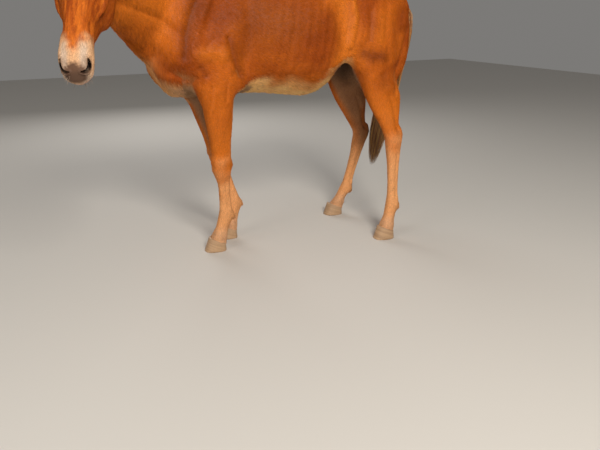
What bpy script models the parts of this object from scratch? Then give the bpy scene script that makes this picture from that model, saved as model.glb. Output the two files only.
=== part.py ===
"""A standing mule, life size, as a still museum model.

Metres, +Z up. The mule faces -Y and its left side is +X. Its origin is the bottom centre of its box,
on the floor between the four hooves. The flesh is modelled whole, from lofted sections and the muscle
and bone masses that show through the skin, and is then parted with thin plane cuts into the pieces
that a person would name. Hooves, eyes and hair are pieces of their own.
"""

import bpy
import bmesh
import numpy as np
from math import cos, pi, radians, sin
from mathutils import Matrix, Vector

# Driving dimensions.
WITHERS_HEIGHT = 1.42
CROUP_HEIGHT = 1.40
BACK_HEIGHT = 1.33
GIRTH_HEIGHT = 0.783
KNEE_HEIGHT = 0.445
HOCK_HEIGHT = 0.53
FETLOCK_HEIGHT = 0.185
HEAD_LENGTH = 0.615
EAR_LENGTH = 0.275
EYE_RADIUS = 0.0215

# Pose: where the poll is, and how the head is turned to the left and lowered.
POLL = Vector((0.360, -0.972, 1.466))
HEAD_TURN = radians(69)
HEAD_DROP = radians(49)

# Making sizes.
GAP = 0.0003
VOXEL = 0.0046
RING_POINTS = 40
RING_SPACING = 0.012
BODY_TRIANGLES = 1400
LEG_TRIANGLES = 970
HEAD_TRIANGLES = 900

# Joints of each leg, from the top down: elbow or stifle, knee or hock, fetlock, coronet and sole.
FORE_JOINTS = {
    "left": [(0.150, -0.405, 0.86), (0.086, -0.383, KNEE_HEIGHT), (0.060, -0.362, FETLOCK_HEIGHT),
             (0.049, -0.402, 0.070), (0.045, -0.418, 0.0)],
    "right": [(-0.150, -0.405, 0.86), (-0.118, -0.322, KNEE_HEIGHT), (-0.102, -0.250, FETLOCK_HEIGHT + 0.005),
              (-0.101, -0.283, 0.070), (-0.101, -0.297, 0.0)],
}
HIND_JOINTS = {
    "left": [(0.175, 0.350, 0.92), (0.258, 0.515, HOCK_HEIGHT), (0.293, 0.500, FETLOCK_HEIGHT - 0.01),
             (0.299, 0.465, 0.070), (0.302, 0.450, 0.0)],
    "right": [(-0.150, 0.345, 0.89), (-0.162, 0.590, HOCK_HEIGHT - 0.055), (-0.172, 0.494, FETLOCK_HEIGHT - 0.04),
              (-0.176, 0.437, 0.064), (-0.178, 0.416, 0.0)],
}
FORE_HEIGHTS = [0.86, KNEE_HEIGHT, FETLOCK_HEIGHT, 0.07, 0.0]
HIND_HEIGHTS = [0.92, HOCK_HEIGHT, FETLOCK_HEIGHT, 0.07, 0.0]
SIDES = {"left": 1.0, "right": -1.0}


# ---------------------------------------------------------------------------------------------------------
# Scene and materials
# ---------------------------------------------------------------------------------------------------------

for leftover in list(bpy.data.objects):
    bpy.data.objects.remove(leftover, do_unlink=True)

mule = bpy.data.collections.new("mule")
bpy.context.scene.collection.children.link(mule)
cutters = bpy.data.collections.new("cutters")
bpy.context.scene.collection.children.link(cutters)


def principled(name, colour, roughness):
    material = bpy.data.materials.new(name)
    material.use_nodes = True
    shader = material.node_tree.nodes["Principled BSDF"]
    shader.inputs["Base Color"].default_value = (*colour, 1.0)
    shader.inputs["Roughness"].default_value = roughness
    shader.inputs["Metallic"].default_value = 0.0
    return material


COAT = principled("sorrel_coat", (0.43, 0.11, 0.030), 0.62)
MANE_HAIR = principled("mane_hair", (0.36, 0.105, 0.035), 0.58)
TAIL_HAIR = principled("tail_hair", (0.42, 0.19, 0.075), 0.58)
HORN = principled("hoof_horn", (0.42, 0.27, 0.15), 0.50)
EYE = principled("eye_surface", (0.012, 0.006, 0.004), 0.08)


# ---------------------------------------------------------------------------------------------------------
# Lofted forms
# ---------------------------------------------------------------------------------------------------------

def section(front, back, half_width, front_shape=2.0, back_shape=2.0, widest=0.5):
    """One cross-section of a limb or body: its front and back outline points, half its width, how square
    each half is (2 is an ellipse), and where between back (0) and front (1) it is widest."""
    return [*front, *back, half_width, front_shape, back_shape, widest]


def smooth_sections(sections):
    """Sections every RING_SPACING along a smooth curve through the given ones."""
    rows = np.array(sections, dtype=float)
    middles = (rows[:, 0:3] + rows[:, 3:6]) / 2.0
    along = np.concatenate([[0.0], np.cumsum(np.linalg.norm(np.diff(middles, axis=0), axis=1))])
    slopes = np.gradient(rows, along, axis=0)
    dense = []
    for i in range(len(rows) - 1):
        span = along[i + 1] - along[i]
        steps = max(2, int(span / RING_SPACING))
        for s in np.arange(steps) / steps:
            dense.append((2 * s**3 - 3 * s**2 + 1) * rows[i] + (s**3 - 2 * s**2 + s) * span * slopes[i]
                         + (3 * s**2 - 2 * s**3) * rows[i + 1] + (s**3 - s**2) * span * slopes[i + 1])
    dense.append(rows[-1])
    return np.array(dense)


def loft(bm, sections):
    """A closed tube through smooth cross-sections, added to bm."""
    rows = smooth_sections(sections)
    middles = (rows[:, 0:3] + rows[:, 3:6]) / 2.0
    tangents = np.gradient(middles, axis=0)
    angles = np.linspace(0.0, 2.0 * pi, RING_POINTS, endpoint=False)
    rings = []
    for row, tangent in zip(rows, tangents):
        front, back = row[0:3], row[3:6]
        half_width, front_shape, back_shape, widest = row[6:10]
        side = np.cross(front - back, tangent)
        side /= np.linalg.norm(side)
        centre = back + (front - back) * widest
        ring = []
        for angle in angles:
            shape = front_shape if sin(angle) > 0 else back_shape
            across = np.sign(cos(angle)) * abs(cos(angle)) ** (2.0 / shape)
            deep = abs(sin(angle)) ** (2.0 / shape)
            reach = (front - centre) if sin(angle) > 0 else (back - centre)
            ring.append(bm.verts.new(centre + side * half_width * across + reach * deep))
        rings.append(ring)
    for ring_a, ring_b in zip(rings, rings[1:]):
        for i in range(RING_POINTS):
            j = (i + 1) % RING_POINTS
            bm.faces.new((ring_a[i], ring_a[j], ring_b[j], ring_b[i]))
    bm.faces.new(rings[0])
    bm.faces.new(rings[-1])


def mass(bm, start, end, side_radius, deep_radius, side_axis=(1.0, 0.0, 0.0)):
    """An ellipsoid belly from start to end, such as a muscle, added to bm."""
    start, end = Vector(start), Vector(end)
    length = (end - start).length / 2.0
    axis = (end - start).normalized()
    deep = axis.cross(Vector(side_axis)).normalized()
    side = deep.cross(axis).normalized()
    turn = Matrix((side, deep, axis)).transposed().to_4x4()
    stretch = Matrix.Diagonal((side_radius, deep_radius, length, 1.0))
    bmesh.ops.create_uvsphere(bm, u_segments=20, v_segments=12, radius=1.0,
                              matrix=Matrix.Translation((start + end) / 2.0) @ turn @ stretch)


def mirrored(point, sign):
    return (midline(point[1]) + sign * point[0], point[1], point[2])


def midline(y):
    """The spine bends a little to the left behind the withers."""
    return 0.05 * max(0.0, y + 0.2) ** 2


# ---------------------------------------------------------------------------------------------------------
# Trunk, hindquarters and neck
# ---------------------------------------------------------------------------------------------------------

def add_trunk(bm):
    # Distance behind the withers' axis, back and belly heights, half width, where it is widest, shape of the top.
    stations = [
        (-0.660, 1.060, 0.880, 0.070, 0.50, 2.0),
        (-0.625, 1.160, 0.812, 0.118, 0.50, 2.0),
        (-0.550, 1.300, GIRTH_HEIGHT - 0.003, 0.150, 0.45, 1.9),
        (-0.460, 1.396, GIRTH_HEIGHT - 0.010, 0.165, 0.42, 1.6),
        (-0.380, WITHERS_HEIGHT, GIRTH_HEIGHT - 0.005, 0.178, 0.40, 1.5),
        (-0.280, WITHERS_HEIGHT - 0.018, GIRTH_HEIGHT, 0.202, 0.42, 1.6),
        (-0.150, 1.358, GIRTH_HEIGHT - 0.004, 0.228, 0.43, 1.9),
        (0.000, BACK_HEIGHT, GIRTH_HEIGHT - 0.022, 0.248, 0.44, 2.1),
        (0.100, BACK_HEIGHT + 0.004, GIRTH_HEIGHT - 0.033, 0.247, 0.46, 2.15),
        (0.200, BACK_HEIGHT + 0.028, GIRTH_HEIGHT + 0.008, 0.230, 0.50, 2.2),
        (0.300, CROUP_HEIGHT - 0.012, 0.905, 0.208, 0.55, 2.1),
        (0.420, CROUP_HEIGHT, 0.965, 0.185, 0.58, 2.0),
        (0.530, CROUP_HEIGHT - 0.026, 0.985, 0.158, 0.60, 2.0),
        (0.610, CROUP_HEIGHT - 0.085, 1.030, 0.118, 0.60, 2.0),
        (0.660, CROUP_HEIGHT - 0.165, 1.080, 0.060, 0.60, 2.0),
    ]
    loft(bm, [section((midline(y), y, top), (midline(y), y, bottom), half_width, top_shape, 2.1, widest)
              for y, top, bottom, half_width, widest, top_shape in stations])
    for sign in SIDES.values():
        add_forequarter_masses(bm, sign)
        add_hindquarter_masses(bm, sign)
    # Breastbone, and the gelding's sheath under the rear of the belly.
    mass(bm, (0.005, -0.668, 0.930), (0.0, -0.440, 0.795), 0.085, 0.062)
    mass(bm, (0.010, 0.080, 0.805), (0.014, 0.270, 0.842), 0.040, 0.036)


def add_forequarter_masses(bm, sign):
    place = lambda *point: mirrored(point, sign)
    mass(bm, place(0.060, -0.320, 1.390), place(0.140, -0.600, 1.020), 0.058, 0.150)
    mass(bm, place(0.050, -0.230, 1.330), place(0.160, -0.410, 0.940), 0.062, 0.120)
    mass(bm, place(0.110, -0.655, 1.060), place(0.155, -0.390, 0.900), 0.066, 0.100)
    mass(bm, place(0.140, -0.430, 1.140), place(0.150, -0.290, 0.800), 0.058, 0.095)
    mass(bm, place(0.070, -0.672, 0.960), place(0.075, -0.500, 0.840), 0.072, 0.080)
    mass(bm, place(0.145, -0.450, 0.960), place(0.130, -0.420, 0.720), 0.060, 0.088)


def add_hindquarter_masses(bm, sign):
    place = lambda *point: mirrored(point, sign)
    mass(bm, place(0.045, 0.020, 1.262), place(0.085, 0.500, 1.288), 0.100, 0.090)
    mass(bm, place(0.112, 0.160, 1.215), place(0.108, 0.640, 1.215), 0.094, 0.150)
    mass(bm, place(0.165, 0.150, 1.260), place(0.172, 0.300, 1.200), 0.040, 0.055)
    mass(bm, place(0.135, 0.225, 1.280), place(0.165, 0.350, 0.885), 0.078, 0.108)
    mass(bm, place(0.125, 0.358, 1.260), place(0.165, 0.472, 0.800), 0.098, 0.160)
    mass(bm, place(0.070, 0.606, 1.260), place(0.140, 0.556, 0.800), 0.068, 0.092)
    mass(bm, place(0.075, 0.480, 1.100), place(0.115, 0.430, 0.760), 0.072, 0.130)
    mass(bm, place(0.170, 0.090, 1.045), place(0.160, 0.310, 0.965), 0.040, 0.068)


def add_neck(bm):
    # Crest point, throat-side point, half width.
    stations = [
        ((0.000, -0.340, 1.400), (0.000, -0.600, 0.880), 0.130),
        ((0.012, -0.450, 1.416), (0.008, -0.694, 0.922), 0.120),
        ((0.070, -0.555, 1.432), (0.056, -0.756, 0.988), 0.104),
        ((0.146, -0.656, 1.456), (0.136, -0.818, 1.048), 0.090),
        ((0.220, -0.750, 1.476), (0.220, -0.876, 1.106), 0.080),
        ((0.288, -0.844, 1.484), (0.290, -0.924, 1.166), 0.074),
        ((0.338, -0.924, 1.466), (0.336, -0.950, 1.230), 0.066),
    ]
    loft(bm, [section(crest, throat, half_width, 1.55, 2.0, 0.42) for crest, throat, half_width in stations])


# ---------------------------------------------------------------------------------------------------------
# Head: measured from the poll, down the face, back from the face, and out to either side
# ---------------------------------------------------------------------------------------------------------

HEADING = Vector((sin(HEAD_TURN), -cos(HEAD_TURN), 0.0))
FACE_DOWN = HEADING * cos(HEAD_DROP) - Vector((0.0, 0.0, sin(HEAD_DROP)))
FACE_OUT = HEADING * sin(HEAD_DROP) + Vector((0.0, 0.0, cos(HEAD_DROP)))
HEAD_LEFT = Vector((0.0, 0.0, 1.0)).cross(HEADING)


def on_head(down, behind, out=0.0):
    return POLL + FACE_DOWN * down - FACE_OUT * behind + HEAD_LEFT * out


def add_head(bm):
    # Distance from the poll, depth of the face line and of the jaw line, half width, where it is widest.
    stations = [
        (-0.030, 0.030, 0.130, 0.040, 0.55),
        (0.000, 0.003, 0.165, 0.066, 0.62),
        (0.050, -0.010, 0.205, 0.080, 0.68),
        (0.110, -0.015, 0.236, 0.090, 0.70),
        (0.170, -0.011, 0.256, 0.095, 0.72),
        (0.230, -0.003, 0.254, 0.092, 0.70),
        (0.290, 0.002, 0.240, 0.080, 0.68),
        (0.350, 0.003, 0.208, 0.066, 0.66),
        (0.410, 0.002, 0.168, 0.055, 0.62),
        (0.470, 0.003, 0.141, 0.052, 0.56),
        (0.530, 0.009, 0.132, 0.056, 0.55),
        (0.575, 0.022, 0.125, 0.055, 0.50),
        (HEAD_LENGTH - 0.012, 0.044, 0.114, 0.041, 0.50),
        (HEAD_LENGTH, 0.062, 0.098, 0.020, 0.50),
    ]
    loft(bm, [section(on_head(down, face), on_head(down, jaw), half_width, 2.5, 1.9, widest)
              for down, face, jaw, half_width, widest in stations])
    for sign in SIDES.values():
        on_side = lambda down, behind, out: on_head(down, behind, sign * out)
        belly = lambda start, end, side, deep: mass(bm, start, end, side, deep, HEAD_LEFT)
        belly(on_side(0.100, 0.172, 0.056), on_side(0.335, 0.150, 0.050), 0.042, 0.084)     # cheek
        belly(on_side(0.140, 0.230, 0.044), on_side(0.430, 0.140, 0.024), 0.018, 0.028)     # jaw bone
        belly(on_side(0.115, 0.024, 0.072), on_side(0.205, 0.030, 0.086), 0.020, 0.020)     # brow
        belly(on_side(0.185, 0.082, 0.094), on_side(0.365, 0.076, 0.066), 0.014, 0.015)     # facial crest
        belly(on_side(0.130, 0.062, 0.070), on_side(0.225, 0.068, 0.078), 0.026, 0.036)     # orbit
        belly(on_side(0.495, 0.052, 0.038), on_side(0.588, 0.062, 0.043), 0.020, 0.032)     # nostril
        belly(on_side(-0.020, 0.048, 0.044), on_side(0.055, 0.062, 0.054), 0.036, 0.038)    # ear root
        upright, mouth, across, root = ear_axes(sign)
        loft(bm, [section(root + upright * rise + mouth * EAR_ROOT_DEPTH, root + upright * rise - mouth * EAR_ROOT_DEPTH,
                          EAR_ROOT_HALF_WIDTH) for rise in (-0.040, -0.010, 0.020, 0.050)])
    belly(on_head(0.560, 0.052), on_head(0.624, 0.088), 0.041, 0.026)                       # upper lip
    belly(on_head(0.515, 0.116), on_head(0.608, 0.114), 0.033, 0.021)                       # lower lip
    belly(on_head(0.510, 0.126), on_head(0.580, 0.130), 0.025, 0.017)                       # chin


EAR_ROOT_DEPTH = 0.024
EAR_ROOT_HALF_WIDTH = 0.029
EAR_CUT = 0.034
EAR_OPENING_RADIUS = 0.038
EAR_OPENING_TOP_RADIUS = 0.058
EAR_OPENING_HEIGHT = 0.080


def ear_axes(sign):
    """The way an ear points, the way its cup faces, the way across it, and the middle of its root."""
    upright = (-FACE_DOWN * 0.90 + FACE_OUT * 0.38 + HEAD_LEFT * sign * 0.24).normalized()
    mouth = (FACE_OUT * 0.80 + HEAD_LEFT * sign * 0.55 + FACE_DOWN * 0.10)
    mouth = (mouth - upright * mouth.dot(upright)).normalized()
    return upright, mouth, upright.cross(mouth), on_head(0.014, 0.054, sign * 0.050)


def add_ear(side, sign):
    """A long leaf rolled into a cup: nearly closed at its root, open to the front, pointed at its tip."""
    upright, mouth, across, root = ear_axes(sign)
    # Share of the length, radius of the roll, half angle that the leaf wraps.
    stations = [(0.00, 0.025, 150), (0.10, 0.031, 142), (0.24, 0.042, 122), (0.40, 0.050, 104),
                (0.56, 0.052, 92), (0.72, 0.047, 82), (0.86, 0.034, 72), (0.95, 0.019, 64), (1.00, 0.007, 60)]
    columns = 9
    bm = bmesh.new()
    rings = []
    for share, radius, wrap in stations:
        centre = root + upright * (EAR_CUT + GAP + share * (EAR_LENGTH - EAR_CUT)) + mouth * 0.020 * share**2
        ring = []
        for column in range(columns):
            angle = radians(wrap) * (2.0 * column / (columns - 1) - 1.0)
            ring.append(bm.verts.new(centre - mouth * radius * cos(angle) * 0.82 + across * radius * sin(angle)))
        rings.append(ring)
    faces = [bm.faces.new((a[i], a[i + 1], b[i + 1], b[i])) for a, b in zip(rings, rings[1:])
             for i in range(columns - 1)]
    bmesh.ops.recalc_face_normals(bm, faces=faces)
    bmesh.ops.solidify(bm, geom=faces, thickness=0.0075)
    bmesh.ops.recalc_face_normals(bm, faces=bm.faces)
    keep_side(bm, root + upright * (EAR_CUT + GAP), -upright)
    add_piece("ear_" + side, bm, COAT)


# ---------------------------------------------------------------------------------------------------------
# Legs
# ---------------------------------------------------------------------------------------------------------

# Height, reach ahead of and behind the leg's axis, half width.
FOREARM = [(0.900, 0.092, 0.085, 0.052), (0.820, 0.092, 0.080, 0.056), (0.740, 0.084, 0.070, 0.053),
           (0.650, 0.069, 0.062, 0.046), (0.560, 0.055, 0.052, 0.040)]
KNEE = [(0.500, 0.051, 0.050, 0.041), (0.455, 0.055, 0.048, 0.044), (0.410, 0.047, 0.046, 0.040)]
GASKIN = [(0.980, 0.060, 0.115, 0.062), (0.900, 0.054, 0.140, 0.068), (0.830, 0.056, 0.162, 0.064),
          (0.755, 0.064, 0.156, 0.056), (0.680, 0.058, 0.116, 0.045), (0.620, 0.050, 0.077, 0.036)]
HOCK = [(0.575, 0.046, 0.056, 0.034), (0.530, 0.050, 0.052, 0.040), (0.480, 0.045, 0.042, 0.038),
        (0.425, 0.035, 0.036, 0.031)]
CANNON = [(0.365, 0.032, 0.035, 0.027), (0.290, 0.029, 0.033, 0.0235), (0.230, 0.031, 0.036, 0.026)]
PASTERN = [(0.187, 0.038, 0.041, 0.033), (0.160, 0.036, 0.039, 0.031), (0.125, 0.032, 0.035, 0.029),
           (0.095, 0.038, 0.038, 0.034), (0.068, 0.045, 0.043, 0.042), (0.030, 0.048, 0.045, 0.046)]
HOOF_LENGTH = 0.112
HOOF_HALF_WIDTH = 0.049
HOOF_POINTS = 22
CORONET_TOE_HEIGHT = 0.071
CORONET_HEEL_HEIGHT = 0.038


def leg_point(joints, heights, height):
    """Where a leg's axis runs at a height that is measured on a straight leg."""
    return Vector([np.interp(height, heights[::-1], [joint[k] for joint in joints][::-1]) for k in range(3)])


def add_leg(bm, joints, heights, stations):
    top = Vector(joints[0])
    sections = []
    for height, ahead, behind, half_width in stations:
        middle = leg_point(joints, heights, height)
        if height > heights[0]:
            middle = top + (top - Vector(joints[1])) * (height - heights[0])
            middle.z = top.z + height - heights[0]
        sections.append(section(middle - Vector((0.0, ahead, 0.0)), middle + Vector((0.0, behind, 0.0)),
                                half_width, 2.1, 2.0, 0.52))
    loft(bm, sections)


def add_legs(bm):
    for side, sign in SIDES.items():
        add_leg(bm, FORE_JOINTS[side], FORE_HEIGHTS, FOREARM + KNEE + CANNON + PASTERN)
        add_leg(bm, HIND_JOINTS[side], HIND_HEIGHTS, GASKIN + HOCK + CANNON + PASTERN)
        # Point of the hock, the bony pad behind the knee, and the back of each fetlock.
        hock = Vector(HIND_JOINTS[side][1])
        mass(bm, hock + Vector((0.0, 0.034, 0.068)), hock + Vector((0.0, 0.030, -0.040)), 0.018, 0.022)
        knee = Vector(FORE_JOINTS[side][1])
        mass(bm, knee + Vector((0.0, 0.030, 0.035)), knee + Vector((0.0, 0.040, -0.025)), 0.022, 0.022)
        for joints in (FORE_JOINTS[side], HIND_JOINTS[side]):
            fetlock = Vector(joints[2])
            mass(bm, fetlock + Vector((0.0, 0.024, 0.018)), fetlock + Vector((0.0, 0.028, -0.030)), 0.024, 0.021)


# ---------------------------------------------------------------------------------------------------------
# Flesh: one closed skin over all the masses
# ---------------------------------------------------------------------------------------------------------

def relax(points, edges, weights, rounds):
    """Moves each point towards the mean of its neighbours, by its weight."""
    a, b = edges[:, 0], edges[:, 1]
    count = np.bincount(np.concatenate([a, b]), minlength=len(points))[:, None]
    for _ in range(rounds):
        total = np.column_stack([np.bincount(a, points[b, k], len(points)) + np.bincount(b, points[a, k], len(points))
                                 for k in range(3)])
        points += weights[:, None] * (total / count - points)
    return points


def ramp(values, low, high):
    return np.clip((values - low) / (high - low), 0.0, 1.0)


def press(points, normals, centre, radius, depth):
    """A soft hollow of the given radius and depth around a point of the surface."""
    distance = np.linalg.norm(points - np.array(centre), axis=1)
    points -= normals * (depth * np.exp(-(distance / radius) ** 2))[:, None]


def groove(points, normals, start, end, radius, depth):
    """A soft hollow along a line."""
    start, end = np.array(start), np.array(end)
    along = np.clip(((points - start) @ (end - start)) / ((end - start) @ (end - start)), 0.0, 1.0)
    distance = np.linalg.norm(points - (start + along[:, None] * (end - start)), axis=1)
    points -= normals * (depth * np.exp(-(distance / radius) ** 2))[:, None]


def shape_flesh(mesh):
    """Smooths the joined masses, and presses in the hollows between them."""
    count = len(mesh.vertices)
    points = np.empty(count * 3)
    mesh.vertices.foreach_get("co", points)
    points = points.reshape(-1, 3)
    edges = np.empty(len(mesh.edges) * 2, dtype=np.int64)
    mesh.edges.foreach_get("vertices", edges)
    edges = edges.reshape(-1, 2)

    from_poll = points - np.array(POLL)
    before_head = 1.0 - ramp(from_poll @ np.array(HEADING), -0.16, 0.0) * ramp(-points[:, 1], 0.80, 0.86)
    off_legs = ramp(points[:, 2], 0.66, 0.84)
    everywhere = np.ones(count)
    points = relax(points, edges, 0.5 * everywhere, 8)
    points = relax(points, edges, 0.5 * before_head * off_legs, 130)
    rump = ramp(points[:, 1], -0.05, 0.15) * ramp(points[:, 2], 0.95, 1.10)
    points = relax(points, edges, 0.5 * rump, 170)

    mesh.vertices.foreach_set("co", points.ravel())
    mesh.update()
    normals = np.empty(count * 3, dtype=np.float32)
    mesh.vertices.foreach_get("normal", normals)
    normals = normals.reshape(-1, 3).astype(float)
    for side, sign in SIDES.items():
        place = lambda *point: mirrored(point, sign)
        press(points, normals, on_head(0.105, 0.055, sign * 0.085), 0.026, 0.009)                 # over the eye
        groove(points, normals, on_head(0.560, 0.040, sign * 0.058), on_head(0.585, 0.066, sign * 0.050),
               0.010, 0.009)                                                                     # nostril
        groove(points, normals, on_head(0.520, 0.098, sign * 0.050), on_head(0.620, 0.096, sign * 0.010),
               0.007, 0.004)                                                                     # mouth
        groove(points, normals, on_head(0.300, 0.075, sign * 0.060), on_head(0.420, 0.070, sign * 0.050),
               0.022, 0.004)                                                                     # under the crest
        groove(points, normals, place(0.205, -0.260, 1.060), place(0.205, -0.270, 0.870), 0.040, 0.012)
        groove(points, normals, place(0.130, -0.640, 1.170), place(0.150, -0.500, 1.330), 0.045, 0.008)
        press(points, normals, place(0.235, 0.190, 1.130), 0.090, 0.014)                          # flank
        groove(points, normals, place(0.215, 0.560, 1.180), place(0.200, 0.520, 0.900), 0.035, 0.007)
        hock = np.array(HIND_JOINTS[side][1])
        for wall in (-0.036, 0.036):                                                              # before the tendon
            groove(points, normals, hock + (wall, 0.020, 0.050), hock + (wall, 0.000, 0.140), 0.018, 0.009)
        for joints in (FORE_JOINTS[side], HIND_JOINTS[side]):
            fetlock, top = np.array(joints[2]), np.array(joints[1])
            for wall in (-0.028, 0.028):                                                          # along the tendons
                groove(points, normals, fetlock * 0.8 + top * 0.2 + (wall, 0.008, 0.0),
                       fetlock * 0.25 + top * 0.75 + (wall, 0.008, 0.0), 0.010, 0.0035)
    groove(points, normals, (midline(0.70), 0.690, 1.120), (midline(0.62), 0.640, 0.860), 0.030, 0.030)
    groove(points, normals, (0.0, -0.720, 0.960), (0.0, -0.600, 0.830), 0.026, 0.010)
    points = relax(points, edges, 0.4 * everywhere, 2)
    mesh.vertices.foreach_set("co", points.ravel())
    mesh.update()
    return points


def applied(source, name):
    """A new object holding the evaluated mesh of source, which is removed."""
    graph = bpy.context.evaluated_depsgraph_get()
    mesh = bpy.data.meshes.new_from_object(source.evaluated_get(graph))
    result = bpy.data.objects.new(name, mesh)
    cutters.objects.link(result)
    bpy.data.objects.remove(source, do_unlink=True)
    return result


def make_flesh():
    bm = bmesh.new()
    add_trunk(bm)
    add_neck(bm)
    add_head(bm)
    add_legs(bm)
    bmesh.ops.recalc_face_normals(bm, faces=bm.faces)
    mesh = bpy.data.meshes.new("masses")
    bm.to_mesh(mesh)
    bm.free()
    masses = bpy.data.objects.new("masses", mesh)
    cutters.objects.link(masses)
    remesh = masses.modifiers.new("one_skin", "REMESH")
    remesh.mode = "VOXEL"
    remesh.voxel_size = VOXEL
    skin = applied(masses, "skin")
    points = shape_flesh(skin.data)

    # The facets are largest where the form is large and plain, and smallest on the head and the lower legs.
    fewer = skin.modifiers.new("finer_facets", "DECIMATE")
    fewer.ratio = 0.25
    fewer.use_collapse_triangulate = True
    skin = applied(skin, "skin")
    on_head_side = lambda points: ((points - np.array(POLL)) @ np.array(HEADING) > -0.10) & (points[:, 2] > 0.85)
    on_leg = lambda points: (points[:, 2] < 0.72)
    on_body = lambda points: ~on_head_side(points) & ~on_leg(points)
    for region, triangles in ((on_body, BODY_TRIANGLES), (on_leg, LEG_TRIANGLES), (on_head_side, HEAD_TRIANGLES)):
        skin = simplified(skin, region, triangles)
    return skin


def simplified(skin, region, triangles):
    """Collapses edges in one region of the skin until about so many triangles are left there."""
    mesh = skin.data
    points = np.empty(len(mesh.vertices) * 3)
    mesh.vertices.foreach_get("co", points)
    inside = region(points.reshape(-1, 3))
    faces = sum(inside[list(face.vertices)].all() for face in mesh.polygons)
    group = skin.vertex_groups.new(name="region")
    group.add(np.nonzero(inside)[0].tolist(), 1.0, "REPLACE")
    decimate = skin.modifiers.new("facets", "DECIMATE")
    decimate.vertex_group = "region"
    decimate.vertex_group_factor = 0.001
    decimate.use_collapse_triangulate = True
    decimate.ratio = 1.0 - (faces - triangles) / len(mesh.polygons)
    skin = applied(skin, "skin")
    skin.vertex_groups.clear()
    return skin


# ---------------------------------------------------------------------------------------------------------
# Parting the flesh with thin cuts
# ---------------------------------------------------------------------------------------------------------

def keep_side(bm, point, normal):
    """Cuts bm at a plane half a gap short of point, keeps what lies against the normal, and closes the cut."""
    normal = Vector(normal).normalized()
    geometry = list(bm.verts) + list(bm.edges) + list(bm.faces)
    cut = bmesh.ops.bisect_plane(bm, geom=geometry, dist=1e-6, plane_co=Vector(point) - normal * GAP / 2.0,
                                 plane_no=normal, clear_outer=True)
    rim = [edge for edge in cut["geom_cut"] if isinstance(edge, bmesh.types.BMEdge) and edge.is_boundary]
    bmesh.ops.holes_fill(bm, edges=rim, sides=0)


def islands(bm):
    """The vertex sets of bm's separate bodies."""
    left = set(bm.verts)
    found = []
    while left:
        stack = [left.pop()]
        body = set(stack)
        while stack:
            for edge in stack.pop().link_edges:
                for vertex in edge.verts:
                    if vertex not in body:
                        body.add(vertex)
                        left.discard(vertex)
                        stack.append(vertex)
        found.append(body)
    return found


def keep_body_near(bm, point):
    """Keeps only the body whose nearest vertex is closest to a point."""
    bodies = islands(bm)
    nearest = min(bodies, key=lambda body: min((vertex.co - Vector(point)).length for vertex in body))
    bmesh.ops.delete(bm, geom=[vertex for vertex in bm.verts if vertex not in nearest], context="VERTS")


def flesh_piece(name, flesh, cuts, inside):
    """One named piece of the flesh, between plane cuts given as (point, normal that points out of it)."""
    bm = bmesh.new()
    bm.from_mesh(flesh.data)
    for point, normal in cuts:
        keep_side(bm, point, normal)
    keep_body_near(bm, inside)
    return add_piece(name, bm, COAT)


def add_piece(name, bm, material):
    bmesh.ops.triangulate(bm, faces=bm.faces)
    bmesh.ops.recalc_face_normals(bm, faces=bm.faces)
    mesh = bpy.data.meshes.new(name)
    bm.to_mesh(mesh)
    bm.free()
    mesh.materials.append(material)
    piece = bpy.data.objects.new(name, mesh)
    mule.objects.link(piece)
    return piece


def reverse(cut):
    return cut[0], tuple(-c for c in cut[1])


def part_flesh(flesh):
    neck_root = ((0.0, -0.560, 1.180), (0.25, -0.90, 0.36))
    throat = (tuple(POLL - HEADING * 0.118), tuple(-HEADING))
    loin = ((0.0, 0.200, 1.0), (0.0, 1.0, 0.0))
    elbows = ((0.0, -0.400, 0.738), (0.0, 0.0, -1.0))
    flesh_piece("neck", flesh, [reverse(neck_root), reverse(throat)], (0.15, -0.75, 1.25))
    flesh_piece("trunk", flesh, [neck_root, loin, elbows], (0.0, -0.1, 1.1))
    flesh_piece("hindquarters", flesh, [reverse(loin), elbows], (0.0, 0.45, 1.2))

    head = flesh_piece("head", flesh, [throat], on_head(0.4, 0.08))
    for side, sign in SIDES.items():
        subtract(head, ear_root_cutter(side, sign))

    for side in SIDES:
        fore, hind = FORE_JOINTS[side], HIND_JOINTS[side]
        part_leg(flesh, fore, elbows, "forearm_" + side, "front_cannon_" + side, "front_pastern_" + side, 0.040)
        part_leg(flesh, hind, elbows, "gaskin_" + side, "hind_cannon_" + side, "hind_pastern_" + side, 0.025)
    return head


def ear_root_cutter(side, sign):
    """A cone that takes the head's flesh off where the ear's own leaf begins, and leaves the poll behind it."""
    upright, mouth, across, root = ear_axes(sign)
    bm = bmesh.new()
    middle = root + upright * (EAR_CUT - GAP / 2.0 + EAR_OPENING_HEIGHT / 2.0)
    turn = Matrix((mouth, across, upright)).transposed().to_4x4()
    bmesh.ops.create_cone(bm, cap_ends=True, segments=16, radius1=EAR_OPENING_RADIUS, radius2=EAR_OPENING_TOP_RADIUS,
                          depth=EAR_OPENING_HEIGHT, matrix=Matrix.Translation(middle) @ turn)
    return add_cutter("ear_root_" + side, bm)


def part_leg(flesh, joints, top, upper_name, cannon_name, pastern_name, above_joint):
    joint, fetlock, foot = Vector(joints[1]), Vector(joints[2]), Vector(joints[4])
    at_joint = (tuple(joint + Vector((0.0, 0.0, above_joint))), (0.0, 0.0, -1.0))
    at_fetlock = (tuple(fetlock + Vector((0.0, 0.0, 0.048))), (0.0, 0.0, -1.0))
    flesh_piece(upper_name, flesh, [reverse(top), at_joint], joint + Vector((0.0, 0.0, 0.15)))
    flesh_piece(cannon_name, flesh, [reverse(at_joint), at_fetlock], joint + Vector((0.0, 0.0, -0.1)))
    flesh_piece(pastern_name, flesh, [reverse(at_fetlock), coronet(foot)], fetlock)


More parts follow.
